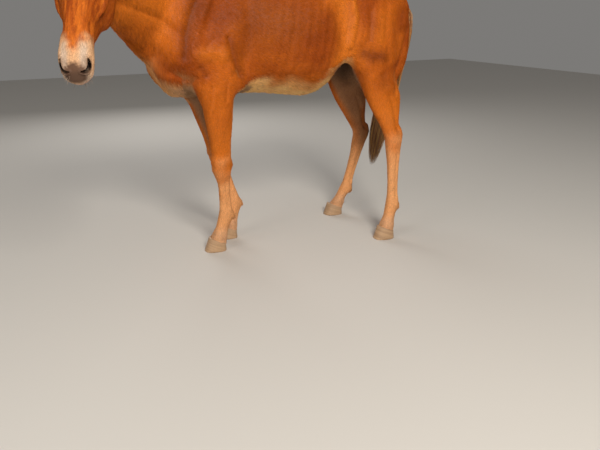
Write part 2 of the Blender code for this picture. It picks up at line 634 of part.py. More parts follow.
def coronet(foot):
    """The slanting plane where the skin ends and the hoof begins."""
    middle = Vector((foot.x, foot.y + 0.008, (CORONET_TOE_HEIGHT + CORONET_HEEL_HEIGHT) / 2.0))
    slope = (CORONET_TOE_HEIGHT - CORONET_HEEL_HEIGHT) / 0.085
    return tuple(middle), (0.0, -slope, -1.0)


# ---------------------------------------------------------------------------------------------------------
# Hooves, eyes, mane, forelock and tail hair
# ---------------------------------------------------------------------------------------------------------

def add_hoof(name, foot):
    """A narrow upright mule hoof, flat underneath, cut off at the coronet."""
    foot = Vector(foot)
    bm = bmesh.new()
    toe, heel = foot.y - HOOF_LENGTH * 0.54, foot.y + HOOF_LENGTH * 0.46
    # Height, how far the toe and the heel draw back from those of the sole, half width.
    stations = [(0.000, 0.000, 0.000, HOOF_HALF_WIDTH), (0.035, 0.014, -0.003, HOOF_HALF_WIDTH - 0.002),
                (0.090, 0.036, -0.008, HOOF_HALF_WIDTH - 0.005)]
    rings = []
    for height, toe_back, heel_back, half_width in stations:
        front, rear = toe + toe_back, heel + heel_back
        middle = rear + (front - rear) * 0.45
        ring = []
        for i in range(HOOF_POINTS):
            angle = 2.0 * pi * i / HOOF_POINTS
            reach = (front - middle) if sin(angle) > 0 else (rear - middle)
            shape = 2.15 if sin(angle) > 0 else 2.7
            across = np.sign(cos(angle)) * abs(cos(angle)) ** (2.0 / shape)
            deep = abs(sin(angle)) ** (2.0 / shape)
            ring.append(bm.verts.new((foot.x + half_width * across, middle + reach * deep, height)))
        rings.append(ring)
    for ring_a, ring_b in zip(rings, rings[1:]):
        for i in range(HOOF_POINTS):
            j = (i + 1) % HOOF_POINTS
            bm.faces.new((ring_a[i], ring_a[j], ring_b[j], ring_b[i]))
    bm.faces.new(rings[0])
    bm.faces.new(rings[-1])
    keep_side(bm, *reverse(coronet(foot)))
    return add_piece(name, bm, HORN)


def add_cutter(name, bm):
    mesh = bpy.data.meshes.new(name)
    bm.to_mesh(mesh)
    bm.free()
    cutter = bpy.data.objects.new(name, mesh)
    cutter.hide_render = True
    cutter.display_type = "WIRE"
    cutters.objects.link(cutter)
    return cutter


def subtract(piece, cutter):
    cut = piece.modifiers.new("cut_" + cutter.name, "BOOLEAN")
    cut.operation = "DIFFERENCE"
    cut.object = cutter


def add_eyes(head):
    for side, sign in SIDES.items():
        centre = on_head(0.170, 0.058, sign * 0.0815)
        bm = bmesh.new()
        bmesh.ops.create_uvsphere(bm, u_segments=12, v_segments=8, radius=EYE_RADIUS,
                                  matrix=Matrix.Translation(centre))
        add_piece("eye_" + side, bm, EYE)
        bm = bmesh.new()
        bmesh.ops.create_uvsphere(bm, u_segments=12, v_segments=8, radius=EYE_RADIUS + 4 * GAP,
                                  matrix=Matrix.Translation(centre))
        # The socket runs out of the head, so that it opens whatever the lids' shape.
        outward = (HEAD_LEFT * sign + FACE_OUT * 0.25).normalized()
        for vertex in bm.verts:
            reach = (vertex.co - centre).dot(outward)
            if reach > 0.0:
                vertex.co += outward * reach * 0.8
        subtract(head, add_cutter("socket_" + side, bm))


def flesh_cutter(flesh):
    """The whole flesh, a gap larger all over, to cut the hair that lies on it."""
    bm = bmesh.new()
    bm.from_mesh(flesh.data)
    bm.normal_update()
    for vertex in bm.verts:
        vertex.co += vertex.normal * 0.0012
    return add_cutter("flesh_cutter", bm)


def add_hair(name, sections, material, cutter):
    global RING_POINTS, RING_SPACING
    bm = bmesh.new()
    RING_POINTS, RING_SPACING = 8, 0.050
    loft(bm, sections)
    bmesh.ops.recalc_face_normals(bm, faces=bm.faces)
    piece = add_piece(name, bm, material)
    subtract(piece, cutter)
    return piece


def add_mane(cutter):
    # Points along the crest, and how far the hair stands over it and hangs to the right.
    stations = [((0.035, -0.490, 1.417), 0.018), ((0.085, -0.578, 1.434), 0.034), ((0.146, -0.656, 1.452), 0.042),
                ((0.204, -0.738, 1.470), 0.044), ((0.252, -0.818, 1.478), 0.040)]
    sections = []
    for crest, length in stations:
        root = Vector(crest) + Vector((0.030, 0.018, -0.028))
        tip = Vector(crest) + Vector((-0.75, -0.35, 0.55)).normalized() * length
        sections.append(section(tip, root, 0.013))
    return add_hair("mane", sections, MANE_HAIR, cutter)


def add_forelock(cutter):
    # Down the forehead from between the ears, to the right of the face.
    stations = [((-0.030, 0.030, 0.000), 0.031, 0.028), ((0.010, -0.006, -0.002), 0.030, 0.022),
                ((0.055, -0.014, -0.010), 0.030, 0.018), ((0.105, -0.018, -0.020), 0.024, 0.014),
                ((0.155, -0.014, -0.030), 0.015, 0.012), ((0.190, -0.010, -0.034), 0.006, 0.009)]
    sections = []
    for (down, behind, out), half_width, half_thickness in stations:
        sections.append(section(on_head(down, behind - half_thickness, out),
                                on_head(down, behind + half_thickness, out), half_width))
    return add_hair("forelock", sections, MANE_HAIR, cutter)


def add_dock(cutter):
    """The fleshy top of the tail, which lies in the cleft under the end of the croup."""
    # Middle of the dock behind and up, how far it has turned down, half depth, half width.
    stations = [(0.570, 1.262, 0, 0.038, 0.042), (0.640, 1.236, 40, 0.038, 0.040), (0.682, 1.194, 66, 0.034, 0.037),
                (0.698, 1.146, 84, 0.031, 0.034), (0.699, 1.092, 90, 0.028, 0.030), (0.697, 1.034, 90, 0.022, 0.024),
                (0.695, 0.985, 90, 0.013, 0.014)]
    sections = []
    for y, height, turned, half_depth, half_width in stations:
        outward = Vector((0.0, sin(radians(turned)), cos(radians(turned)))) * half_depth
        middle = Vector((0.037, y, height))
        sections.append(section(middle + outward, middle - outward, half_width))
    return add_hair("tail_dock", sections, COAT, cutter)


def add_tail_hair(cutter, dock):
    # Height, middle of the lock to the left and behind, half width, half depth.
    stations = [(1.200, 0.037, 0.704, 0.026, 0.016), (1.140, 0.037, 0.716, 0.038, 0.030),
                (1.060, 0.034, 0.718, 0.048, 0.040),
                (0.960, 0.024, 0.712, 0.056, 0.044), (0.840, 0.008, 0.704, 0.062, 0.046),
                (0.720, -0.012, 0.696, 0.067, 0.046), (0.600, -0.036, 0.688, 0.068, 0.045),
                (0.490, -0.060, 0.680, 0.062, 0.042), (0.390, -0.082, 0.672, 0.049, 0.034),
                (0.320, -0.096, 0.666, 0.032, 0.023), (0.275, -0.102, 0.662, 0.012, 0.010)]
    sections = [section((x, y + half_depth, height), (x, y - half_depth, height), half_width)
                for height, x, y, half_width, half_depth in stations]
    hair = add_hair("tail_hair", sections, TAIL_HAIR, cutter)
    bm = bmesh.new()
    bm.from_mesh(dock.data)
    bm.normal_update()
    for vertex in bm.verts:
        vertex.co += vertex.normal * 4 * GAP
    subtract(hair, add_cutter("dock_cutter", bm))


def centre_on_floor():
    """Moves everything so that the origin is the bottom centre of the whole box."""
    graph = bpy.context.evaluated_depsgraph_get()
    corners = []
    for piece in mule.objects:
        mesh = piece.evaluated_get(graph).to_mesh()
        corners += [vertex.co.copy() for vertex in mesh.vertices]
    low = Vector([min(corner[k] for corner in corners) for k in range(3)])
    high = Vector([max(corner[k] for corner in corners) for k in range(3)])
    shift = Matrix.Translation(-Vector(((low.x + high.x) / 2.0, (low.y + high.y) / 2.0, low.z)))
    for thing in list(mule.objects) + list(cutters.objects):
        thing.data.transform(shift)


flesh = make_flesh()
head = part_flesh(flesh)
for side, sign in SIDES.items():
    add_ear(side, sign)
for side in SIDES:
    add_hoof("front_hoof_" + side, FORE_JOINTS[side][4])
    add_hoof("hind_hoof_" + side, HIND_JOINTS[side][4])
add_eyes(head)
hair_cutter = flesh_cutter(flesh)
add_mane(hair_cutter)
add_forelock(hair_cutter)
add_tail_hair(hair_cutter, add_dock(hair_cutter))
bpy.data.objects.remove(flesh, do_unlink=True)
bpy.context.view_layer.update()
centre_on_floor()
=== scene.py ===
from math import cos, pi, radians, sin

import bmesh
import bpy
import numpy as np
from mathutils import Matrix, Vector
from mathutils.bvhtree import BVHTree


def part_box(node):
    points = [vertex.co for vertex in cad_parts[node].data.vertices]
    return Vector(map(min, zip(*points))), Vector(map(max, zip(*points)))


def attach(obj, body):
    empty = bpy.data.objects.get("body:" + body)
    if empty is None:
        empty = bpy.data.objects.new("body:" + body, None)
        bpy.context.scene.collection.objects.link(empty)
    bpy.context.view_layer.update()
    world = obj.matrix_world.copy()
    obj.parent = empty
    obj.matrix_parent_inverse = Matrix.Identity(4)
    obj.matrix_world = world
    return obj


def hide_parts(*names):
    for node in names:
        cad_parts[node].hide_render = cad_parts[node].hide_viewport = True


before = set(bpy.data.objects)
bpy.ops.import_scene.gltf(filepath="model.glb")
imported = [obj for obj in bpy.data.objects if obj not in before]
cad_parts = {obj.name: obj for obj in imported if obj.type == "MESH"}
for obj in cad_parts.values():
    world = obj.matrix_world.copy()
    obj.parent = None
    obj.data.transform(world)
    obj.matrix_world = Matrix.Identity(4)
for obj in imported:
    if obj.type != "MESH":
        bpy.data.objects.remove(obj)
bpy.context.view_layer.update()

# ---------------------------------------------------------------------------------------------------------
# The flesh. A mule's body is one unbroken hide over muscle and bone. Its named parts are welded back into
# one closed form here and rounded, and then rebuilt as one even surface, so that no seam is left.
# ---------------------------------------------------------------------------------------------------------

SIDES = {"left": 1.0, "right": -1.0}
LEG_PARTS = [part + "_" + side for side in SIDES for part in
             ("forearm", "front_cannon", "front_pastern", "gaskin", "hind_cannon", "hind_pastern")]
WELDED_PARTS = ["neck", "trunk", "hindquarters", "head"] + LEG_PARTS
OTHER_FLESH = ["ear_left", "ear_right", "tail_dock"]
CUT_GAP = 0.0015        # the parts are cut this close to each other, or closer
SAME_PLACE = 0.00005    # points that are closer than this are one point
CORONETS_BELOW = 0.09   # the lower ends of the legs' flesh are below this height
UNDER_HORN = 0.014      # how far the skin runs on under the top of the hoof
EAR_INTO_HEAD = 0.012   # how far the root of the ear runs on into the head
DOCK_SWELL = 0.002      # how much the dock is swollen to meet the rump
VOXEL = 0.003


def new_object(name, bm):
    """The bmesh as an object at the origin."""
    mesh = bpy.data.meshes.new(name)
    bm.to_mesh(mesh)
    bm.free()
    piece = bpy.data.objects.new(name, mesh)
    bpy.context.collection.objects.link(piece)
    return piece


def settle(piece):
    """Makes the piece's modifiers part of its mesh."""
    graph = bpy.context.evaluated_depsgraph_get()
    graph.update()
    finished = bpy.data.meshes.new_from_object(piece.evaluated_get(graph))
    rough = piece.data
    piece.modifiers.clear()
    piece.data = finished
    bpy.data.meshes.remove(rough)


def rounded(piece, levels):
    """Rounds the piece by halving its edges so many times."""
    subdivision = piece.modifiers.new("rounded", "SUBSURF")
    subdivision.levels = subdivision.render_levels = levels
    settle(piece)


def welded_flesh():
    """The parts with the faces of their cuts taken out, and the rims of the cuts joined."""
    flesh = bmesh.new()
    owner = []
    for number, name in enumerate(WELDED_PARTS):
        flesh.from_mesh(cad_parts[name].data)
        owner += [number] * (len(flesh.faces) - len(owner))
    flesh.faces.ensure_lookup_table()
    flesh.normal_update()
    surface = BVHTree.FromBMesh(flesh)
    cut_faces = []
    for face in flesh.faces:
        start = face.calc_center_median() + face.normal * SAME_PLACE
        place, normal, index, _ = surface.ray_cast(start, face.normal, CUT_GAP)
        if place is not None and owner[index] != owner[face.index] and normal.dot(face.normal) < -0.9:
            cut_faces.append(face)
    bmesh.ops.delete(flesh, geom=cut_faces, context="FACES")
    bmesh.ops.remove_doubles(flesh, verts=flesh.verts, dist=SAME_PLACE)
    bmesh.ops.remove_doubles(flesh, verts=[vert for vert in flesh.verts if vert.is_boundary], dist=CUT_GAP)
    bmesh.ops.holes_fill(flesh, edges=[edge for edge in flesh.edges if edge.is_boundary], sides=0)
    bmesh.ops.triangulate(flesh, faces=flesh.faces)
    bmesh.ops.recalc_face_normals(flesh, faces=flesh.faces)
    coronets = {vert for face in flesh.faces for vert in face.verts
                if face.normal.z < -0.8 and face.calc_center_median().z < CORONETS_BELOW}
    for vert in coronets:
        vert.co.z -= UNDER_HORN
    return flesh


def other_flesh(name):
    """An ear with its root let into the head, the dock pressed against the rump, or an eye's own ball."""
    part = bmesh.new()
    part.from_mesh(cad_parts[name].data)
    bmesh.ops.remove_doubles(part, verts=part.verts, dist=SAME_PLACE)
    part.normal_update()
    if name.startswith("ear"):
        cut = max((face for face in part.faces if face.normal.z < -0.7),
                  key=lambda face: face.calc_area() - face.calc_center_median().z)
        down, middle = Vector(cut.normal), cut.calc_center_median()
        for vert in part.verts:
            if (vert.co - middle).dot(down) > -0.0005:
                vert.co += down * EAR_INTO_HEAD
    elif name == "tail_dock":
        for vert in part.verts:
            vert.co += vert.normal * DOCK_SWELL
    return part


skin = new_object("skin", welded_flesh())
rounded(skin, 2)
joined = bmesh.new()
joined.from_mesh(skin.data)
bpy.data.objects.remove(skin)
for name in OTHER_FLESH + ["eye_left", "eye_right"]:
    piece = new_object("part", other_flesh(name))
    rounded(piece, 2)
    joined.from_mesh(piece.data)
    bpy.data.objects.remove(piece)
skin = new_object("skin", joined)
even = skin.modifiers.new("one_hide", "REMESH")
even.mode = "VOXEL"
even.voxel_size = VOXEL
settle(skin)

# ---------------------------------------------------------------------------------------------------------
# The muscles, tendons and bones that show under the hide. The surface is smoothed, most on the barrel and
# least on the head, and low ridges and hollows are raised along named lines of the body, neck and legs.
# ---------------------------------------------------------------------------------------------------------

UP = Vector((0.0, 0.0, 1.0))
HEAD_DROP = radians(49.0)       # how far the line of the face points down
EYE_DOWN = 0.170                # the eyes' distance down the face from the poll
EYE_BEHIND = 0.058              # and behind the line of the face

eye_middle = {side: sum(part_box("eye_" + side), Vector()) / 2.0 for side in SIDES}
EYE_RADIUS = (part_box("eye_left")[1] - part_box("eye_left")[0]).z / 2.0
HEAD_LEFT = (eye_middle["left"] - eye_middle["right"]).normalized()
HEADING = HEAD_LEFT.cross(UP)
FACE_DOWN = HEADING * cos(HEAD_DROP) - UP * sin(HEAD_DROP)
FACE_OUT = HEADING * sin(HEAD_DROP) + UP * cos(HEAD_DROP)
POLL = (eye_middle["left"] + eye_middle["right"]) / 2.0 - FACE_DOWN * EYE_DOWN + FACE_OUT * EYE_BEHIND


def on_head(down, behind, out=0.0):
    """A place given by its distance down the face, behind the line of the face, and to the head's left."""
    return POLL + FACE_DOWN * down - FACE_OUT * behind + HEAD_LEFT * out


def head_place(points):
    """The same three distances for many points."""
    away = points - np.array(POLL)
    return np.column_stack([away @ np.array(FACE_DOWN), -away @ np.array(FACE_OUT),
                            away @ np.array(HEAD_LEFT)])


def ramp(values, low, high):
    """0 below low, 1 above high, and a smooth step between."""
    share = np.clip((values - low) / (high - low), 0.0, 1.0)
    return share * share * (3.0 - 2.0 * share)


def from_line(points, line):
    """How far each point is from a bent line, and the nearest place's share of the line's length."""
    line = np.array(line, dtype=float)
    lengths = np.linalg.norm(line[1:] - line[:-1], axis=1)
    starts = np.concatenate([[0.0], np.cumsum(lengths)])
    nearest, along = np.full(len(points), 9.0), np.zeros(len(points))
    for start, end, length, begins in zip(line, line[1:], lengths, starts):
        share = np.clip((points - start) @ (end - start) / length**2, 0.0, 1.0)
        distance = np.linalg.norm(points - start - share[:, None] * (end - start), axis=1)
        closer = distance < nearest
        nearest[closer] = distance[closer]
        along[closer] = (begins + share[closer] * length) / starts[-1]
    return nearest, along


def bell(distance, width):
    """1 at the middle, falling off on both sides."""
    return np.exp(-(distance / width) ** 2)


def near_line(points, line, width):
    """1 on a bent line, falling off to both sides of it."""
    return bell(from_line(points, line)[0], width)


def read_out(collection, name, wide, kind=float):
    """One value, or a row of values, for each element of a mesh's collection."""
    values = np.empty(len(collection) * wide, dtype=kind)
    collection.foreach_get(name, values)
    return values.reshape(-1, wide) if wide > 1 else values


def mesh_points(mesh):
    """The places of a mesh's points."""
    return read_out(mesh.vertices, "co", 3)


def mesh_normals(mesh):
    """The ways a mesh faces at its points."""
    return read_out(mesh.vertex_normals, "vector", 3)


def mesh_edges(mesh):
    """The two points of each of a mesh's edges."""
    return read_out(mesh.edges, "vertices", 2, np.int64)


def put_points(mesh, points):
    """Moves a mesh's points to these places."""
    mesh.vertices.foreach_set("co", points.ravel())
    mesh.update()


def relax(points, edges, weights, rounds):
    """Moves each point towards the mean of its neighbours, by its weight."""
    a, b = edges[:, 0], edges[:, 1]
    count = np.bincount(edges.ravel(), minlength=len(points))[:, None]
    for _ in range(rounds):
        total = np.column_stack([np.bincount(a, points[b, k], len(points))
                                 + np.bincount(b, points[a, k], len(points)) for k in range(3)])
        points += weights[:, None] * (total / count - points)
    return points


# Where the middle of each leg's joints is, from the elbow or stifle down to the sole.
LEG_LINES = {
    ("fore", "left"): [(-0.080, -0.213, 0.86), (-0.144, -0.191, 0.445), (-0.170, -0.170, 0.185),
                       (-0.181, -0.210, 0.070), (-0.185, -0.226, 0.0)],
    ("fore", "right"): [(-0.380, -0.213, 0.86), (-0.348, -0.130, 0.445), (-0.332, -0.058, 0.190),
                        (-0.331, -0.091, 0.070), (-0.331, -0.105, 0.0)],
    ("hind", "left"): [(-0.055, 0.542, 0.92), (0.028, 0.707, 0.53), (0.063, 0.692, 0.175),
                       (0.069, 0.657, 0.070), (0.072, 0.642, 0.0)],
    ("hind", "right"): [(-0.380, 0.537, 0.89), (-0.392, 0.782, 0.475), (-0.402, 0.686, 0.145),
                        (-0.406, 0.629, 0.064), (-0.408, 0.608, 0.0)],
}


def body_middle(y):
    """Where the middle of the body is across, because the spine bends a little towards the rump's left."""
    return -0.2303 + 0.05 * np.maximum(0.0, y + 0.0075) ** 2


def leg_offsets(points, line):
    """Each point's place from the axis of a leg at its own height."""
    line = np.array(line)[::-1]
    axis_x = np.interp(points[:, 2], line[:, 2], line[:, 0])
    axis_y = np.interp(points[:, 2], line[:, 2], line[:, 1])
    return np.column_stack([points[:, 0] - axis_x, points[:, 1] - axis_y, points[:, 2]])


def head_share(points):
    """1 on the head and ears, 0 on the body, with a soft step at the throat."""
    away = points - np.array(POLL)
    ahead = away @ np.array(HEADING)
    share = np.maximum(ramp(ahead, -0.13, -0.02), ramp(points[:, 2], 1.475, 1.495))
    return share * ramp(-points[:, 1], 0.50, 0.58)


def ear_share(points):
    """1 on the ears, with a soft step at their roots."""
    place = head_place(points)
    return ramp(-place[:, 0] + 0.35 * place[:, 1], 0.015, 0.035) * ramp(points[:, 2], 1.44, 1.475)


def leg_share(points):
    """1 on the legs, from a soft step at the elbow and the stifle down."""
    return ramp(-points[:, 2], -0.80, -0.66)


def smoothed(piece, stages):
    """Smooths the piece in stages, each with a weight for every point and a number of rounds."""
    for number, (weights, rounds) in enumerate(stages):
        group = piece.vertex_groups.new(name="stage_%d" % number)
        tenths = np.round(weights * 10.0).astype(int)
        for tenth in range(1, 11):
            group.add(np.nonzero(tenths == tenth)[0].tolist(), tenth / 10.0, "REPLACE")
        smoothing = piece.modifiers.new(group.name, "SMOOTH")
        smoothing.vertex_group = group.name
        smoothing.factor = 0.5
        smoothing.iterations = rounds
    settle(piece)
    piece.vertex_groups.clear()


points = mesh_points(skin.data)
head, legs, ears = head_share(points), leg_share(points), ear_share(points)
grain = 0.003 / VOXEL           # fewer rounds do the same on a coarser mesh
smoothed(skin, [(np.ones(len(points)), 3), (1.0 - ears, int(5 * grain)), (1.0 - head, int(8 * grain)),
                ((1.0 - head) * (1.0 - legs), int(90 * grain**2))])

# Lines on the sides of the body, as distances along it and heights, with their width and how far they rise.
SIDE_FORMS = [
    ([(-0.155, 1.37), (-0.255, 1.20), (-0.310, 1.05)], 0.026, 0.0060),    # front edge of the shoulder blade
    ([(-0.302, 1.20), (-0.337, 1.135), (-0.360, 1.06), (-0.376, 0.98)], 0.021, -0.0085),  # ahead of it
    ([(-0.16, 1.35), (-0.28, 1.13)], 0.012, 0.0028),                      # its spine
    ([(-0.05, 1.25), (-0.07, 1.05), (-0.10, 0.90)], 0.036, -0.0080),      # hollow behind the shoulder
    ([(-0.12, 1.16), (-0.17, 1.04)], 0.042, 0.0060),                      # long head of the triceps
    ([(-0.198, 1.03), (-0.188, 0.975), (-0.166, 0.915)], 0.018, 0.0065),  # its rear edge
    ([(-0.172, 1.05), (-0.158, 0.98), (-0.136, 0.925), (-0.110, 0.880)], 0.013, -0.0085),  # behind it
    ([(-0.310, 0.980), (-0.250, 0.990), (-0.205, 0.975)], 0.028, 0.0065), # side head of the triceps
    ([(-0.235, 1.045), (-0.275, 1.010)], 0.014, -0.0035),                 # between the two heads
    ([(-0.306, 0.920), (-0.282, 0.892)], 0.016, -0.0075),                 # hollow of the elbow
    ([(-0.258, 0.835), (-0.262, 0.715)], 0.010, -0.0042),                 # between the forearm's muscles
    ([(-0.184, 0.850), (-0.190, 0.770)], 0.009, -0.0032),
    ([(-0.40, 1.04), (-0.42, 0.96)], 0.040, 0.0065),                      # point of the shoulder
    ([(-0.425, 0.905), (-0.37, 0.875)], 0.014, -0.0045),                  # between the breast and the arm
    ([(0.405, 1.18), (0.415, 1.07)], 0.046, -0.0095),                     # hollow of the flank
    ([(0.458, 1.22), (0.472, 1.14), (0.458, 1.07), (0.446, 1.00)], 0.016, 0.0085),   # cord of the flank
    ([(0.36, 0.905), (0.41, 0.925), (0.46, 0.965)], 0.020, 0.0050),       # skin fold of the flank
    ([(0.43, 1.27), (0.45, 1.25)], 0.034, 0.0090),                        # point of the hip
    ([(0.560, 1.16), (0.545, 1.04)], 0.018, -0.0048),                     # front groove of the thigh
    ([(0.525, 0.985), (0.590, 0.955)], 0.036, -0.0095),                   # hollow above the stifle
    ([(0.545, 0.895), (0.575, 0.855)], 0.036, 0.0075),                    # stifle
    ([(0.632, 0.855), (0.646, 0.810)], 0.021, -0.0060),                   # hollow behind it
    ([(0.845, 1.18), (0.80, 1.02), (0.745, 0.88), (0.715, 0.76)], 0.018, -0.0065),   # groove down the thigh
    ([(0.66, 1.20), (0.64, 1.04), (0.66, 0.93)], 0.022, -0.0042),         # groove ahead of it
    ([(0.805, 1.17), (0.800, 1.10)], 0.042, 0.0150),                      # point of the buttock
    ([(0.62, 1.29), (0.74, 1.20)], 0.030, 0.0030),                        # croup
]
RIBS, FIRST_RIB, RIB_SPACING = 7, 0.06, 0.046
for number in range(RIBS):
    rib = FIRST_RIB + RIB_SPACING * number
    SIDE_FORMS.append(([(rib + 0.03, 1.20), (rib, 1.05), (rib - 0.03, 0.90)], 0.013, 0.0011))


def shape_sides(points, normals):
    """Raises and sinks the lines above on both sides of the body."""
    outward = points[:, 0] - body_middle(points[:, 1])
    facing = ramp(normals[:, 0] * np.sign(outward), 0.15, 0.60) * ramp(points[:, 2], 0.70, 0.76)
    facing *= 1.0 - head_share(points)
    rise = np.zeros(len(points))
    side_view = points[:, 1:3]
    for line, width, height in SIDE_FORMS:
        rise += height * near_line(side_view, line, width)
    points += normals * (rise * facing)[:, None]


def leg_forms(kind, joint, fetlock):
    """Lines about a leg's own axis, across, back and height, with their width and how far they rise. The
    joint and the fetlock are heights. Lines off the middle are on both sides of the leg."""
    paired = [([(0.026, 0.008, joint - 0.075), (0.025, 0.009, fetlock + 0.045)], 0.0075, -0.0040),
              ([(0.022, 0.024, joint - 0.070), (0.021, 0.026, fetlock + 0.040)], 0.0080, 0.0018),
              ([(0.032, 0.014, fetlock + 0.008), (0.030, 0.020, fetlock - 0.008)], 0.012, 0.0022),
              ([(0.028, 0.022, fetlock - 0.040), (0.030, 0.018, 0.085)], 0.010, -0.0022)]
    if kind == "fore":
        paired += [([(0.040, -0.012, joint + 0.030), (0.042, -0.010, joint + 0.022)], 0.014, 0.0030),
                   ([(0.042, 0.018, joint + 0.012), (0.040, 0.024, joint - 0.020)], 0.011, -0.0030),
                   ([(0.044, 0.010, joint + 0.060), (0.050, 0.022, joint + 0.200)], 0.013, -0.0035),
                   ([(0.046, -0.028, joint + 0.080), (0.054, -0.030, joint + 0.240)], 0.016, -0.0030)]
        middle = [([(-0.020, -0.055, joint + 0.006), (0.020, -0.055, joint + 0.006)], 0.008, -0.0022),
                  ([(-0.012, -0.058, joint + 0.028), (0.012, -0.058, joint + 0.028)], 0.015, 0.0022),
                  ([(-0.012, -0.054, joint - 0.020), (0.012, -0.054, joint - 0.020)], 0.013, 0.0020),
                  ([(0.0, 0.052, joint + 0.026), (0.0, 0.050, joint + 0.008)], 0.014, 0.0050)]
    else:
        paired += [([(0.026, 0.034, joint + 0.050), (0.036, 0.056, joint + 0.150),
                     (0.044, 0.060, joint + 0.220)], 0.015, -0.0065),
                   ([(0.036, -0.016, joint - 0.005), (0.034, -0.018, joint - 0.030)], 0.014, 0.0030),
                   ([(0.038, 0.018, joint + 0.014), (0.036, 0.018, joint - 0.030)], 0.010, -0.0028)]
        middle = [([(0.0, 0.052, joint + 0.040), (0.0, 0.054, joint + 0.012)], 0.013, 0.0060)]
    middle += [([(0.0, 0.044, fetlock + 0.004), (0.0, 0.042, fetlock - 0.010)], 0.013, 0.0035),
               ([(0.0, 0.046, fetlock - 0.012), (0.0, 0.045, fetlock - 0.018)], 0.006, 0.0040)]
    return [([(across * wide, backward, high) for wide, backward, high in line], width, rise)
            for across in (-1.0, 1.0) for line, width, rise in paired] + middle


CORONET_HEIGHT, CORONET_SLOPE = 0.0715, 0.39    # at the toe, and how it falls towards the heels
TOE_FROM_AXIS = 0.060


def shape_legs(points, normals):
    """Raises and sinks the lines above on all four legs."""
    for (kind, _), line in LEG_LINES.items():
        offsets = leg_offsets(points, line)
        near = (np.abs(offsets[:, 0]) < 0.12) & (np.abs(offsets[:, 1]) < 0.15) & (points[:, 2] < 0.80)
        places = offsets[near]
        rise = np.zeros(len(places))
        for form, width, height in leg_forms(kind, line[1][2], line[2][2]):
            rise += height * near_line(places, form, width)
        # The coronet swells where the hair ends over the horn.
        toe_y = line[4][1] - TOE_FROM_AXIS
        above = places[:, 2] - (CORONET_HEIGHT - CORONET_SLOPE * (points[near, 1] - toe_y))
        rise += 0.0022 * bell(above - 0.006, 0.006)
        points[near] += normals[near] * rise[:, None]


NECK_AXIS = (Vector((-0.200, -0.370, 1.130)), Vector((0.020, -0.740, 1.300)))


def shape_neck(points, normals):
    """The jugular groove between the windpipe and the long muscle above it, and the crest."""
    start, end = (np.array(place) for place in NECK_AXIS)
    along = (end - start) / np.linalg.norm(end - start)
    away = points - start
    share = away @ along / np.linalg.norm(end - start)
    level = np.cross(along, np.array(UP))
    level /= np.linalg.norm(level)
    upward = np.cross(level, along)
    angle = np.degrees(np.arctan2(away @ upward, np.abs(away @ level)))
    neck = ramp(share, -0.05, 0.15) * (1.0 - ramp(share, 0.90, 1.05)) * (1.0 - head_share(points))
    rise = (-0.0055 * bell(angle + 42.0, 9.0) + 0.0035 * bell(angle + 18.0, 14.0)
            + 0.0030 * bell(angle - 55.0, 14.0) - 0.0035 * bell(angle - 22.0, 12.0))
    points += normals * (rise * neck)[:, None]


# How deep the coat is. The hide lies inside the solid parts by that much.
COAT_DEPTH = 0.0022
FACE_COAT_DEPTH = 0.0012

mesh = skin.data
points, normals = mesh_points(mesh), mesh_normals(mesh)
shape_sides(points, normals)
shape_legs(points, normals)
shape_neck(points, normals)
depth = COAT_DEPTH + (FACE_COAT_DEPTH - COAT_DEPTH) * np.maximum(head, legs)
points -= normals * depth[:, None]
put_points(mesh, points)


def simplified(piece, region, triangles):
    """Collapses edges in one region of the piece until about so many triangles are left there."""
    mesh = piece.data
    inside = region(mesh_points(mesh))
    counts = read_out(mesh.polygons, "loop_total", 1, np.int64) - 2
    corners = read_out(mesh.loops, "vertex_index", 1, np.int64)
    firsts = read_out(mesh.polygons, "loop_start", 1, np.int64)
    present = int(counts[inside[corners[firsts]]].sum())
    group = piece.vertex_groups.new(name="region")
    group.add(np.nonzero(inside)[0].tolist(), 1.0, "REPLACE")
    decimate = piece.modifiers.new("fewer", "DECIMATE")
    decimate.vertex_group = "region"
    decimate.vertex_group_factor = 0.001
    decimate.use_collapse_triangulate = True
    decimate.ratio = 1.0 - (present - triangles) / counts.sum()
    settle(piece)
    piece.vertex_groups.clear()


BODY_TRIANGLES = 46000
LEG_TRIANGLES = 36000
LEGS_BELOW = 0.73
simplified(skin, lambda points: (head_share(points) < 0.5) & (points[:, 2] > LEGS_BELOW), BODY_TRIANGLES)
simplified(skin, lambda points: (head_share(points) < 0.5) & (points[:, 2] <= LEGS_BELOW), LEG_TRIANGLES)

# ---------------------------------------------------------------------------------------------------------
# The face. The hide is drawn finer round the eyes and over the muzzle, and shaped there into the lids with
# their folds, the comma-shaped nostrils, the lips, and the bones, hollows and veins of the head.
# ---------------------------------------------------------------------------------------------------------

EYE_FINE_REACH = (0.052, 0.036)     # within these distances of an eye the edges are halved, and again
MUZZLE_FINE_FROM = 0.470            # from here down the face they are halved once
NOSTRIL = [(0.556, 0.031, 0.0360), (0.566, 0.037, 0.0435), (0.578, 0.045, 0.0465), (0.588, 0.050, 0.0435),
           (0.595, 0.051, 0.0365), (0.5995, 0.050, 0.0265), (0.601, 0.048, 0.0200)]
NOSTRIL_HALF_WIDTHS = [0.0014, 0.0036, 0.0062, 0.0082, 0.0074, 0.0050, 0.0018]
NOSTRIL_DEPTH = 0.020
MOUTH = [(0.520, 0.102, 0.047), (0.555, 0.100, 0.046), (0.590, 0.098, 0.038), (0.612, 0.096, 0.022),
         (0.618, 0.095, 0.0)]


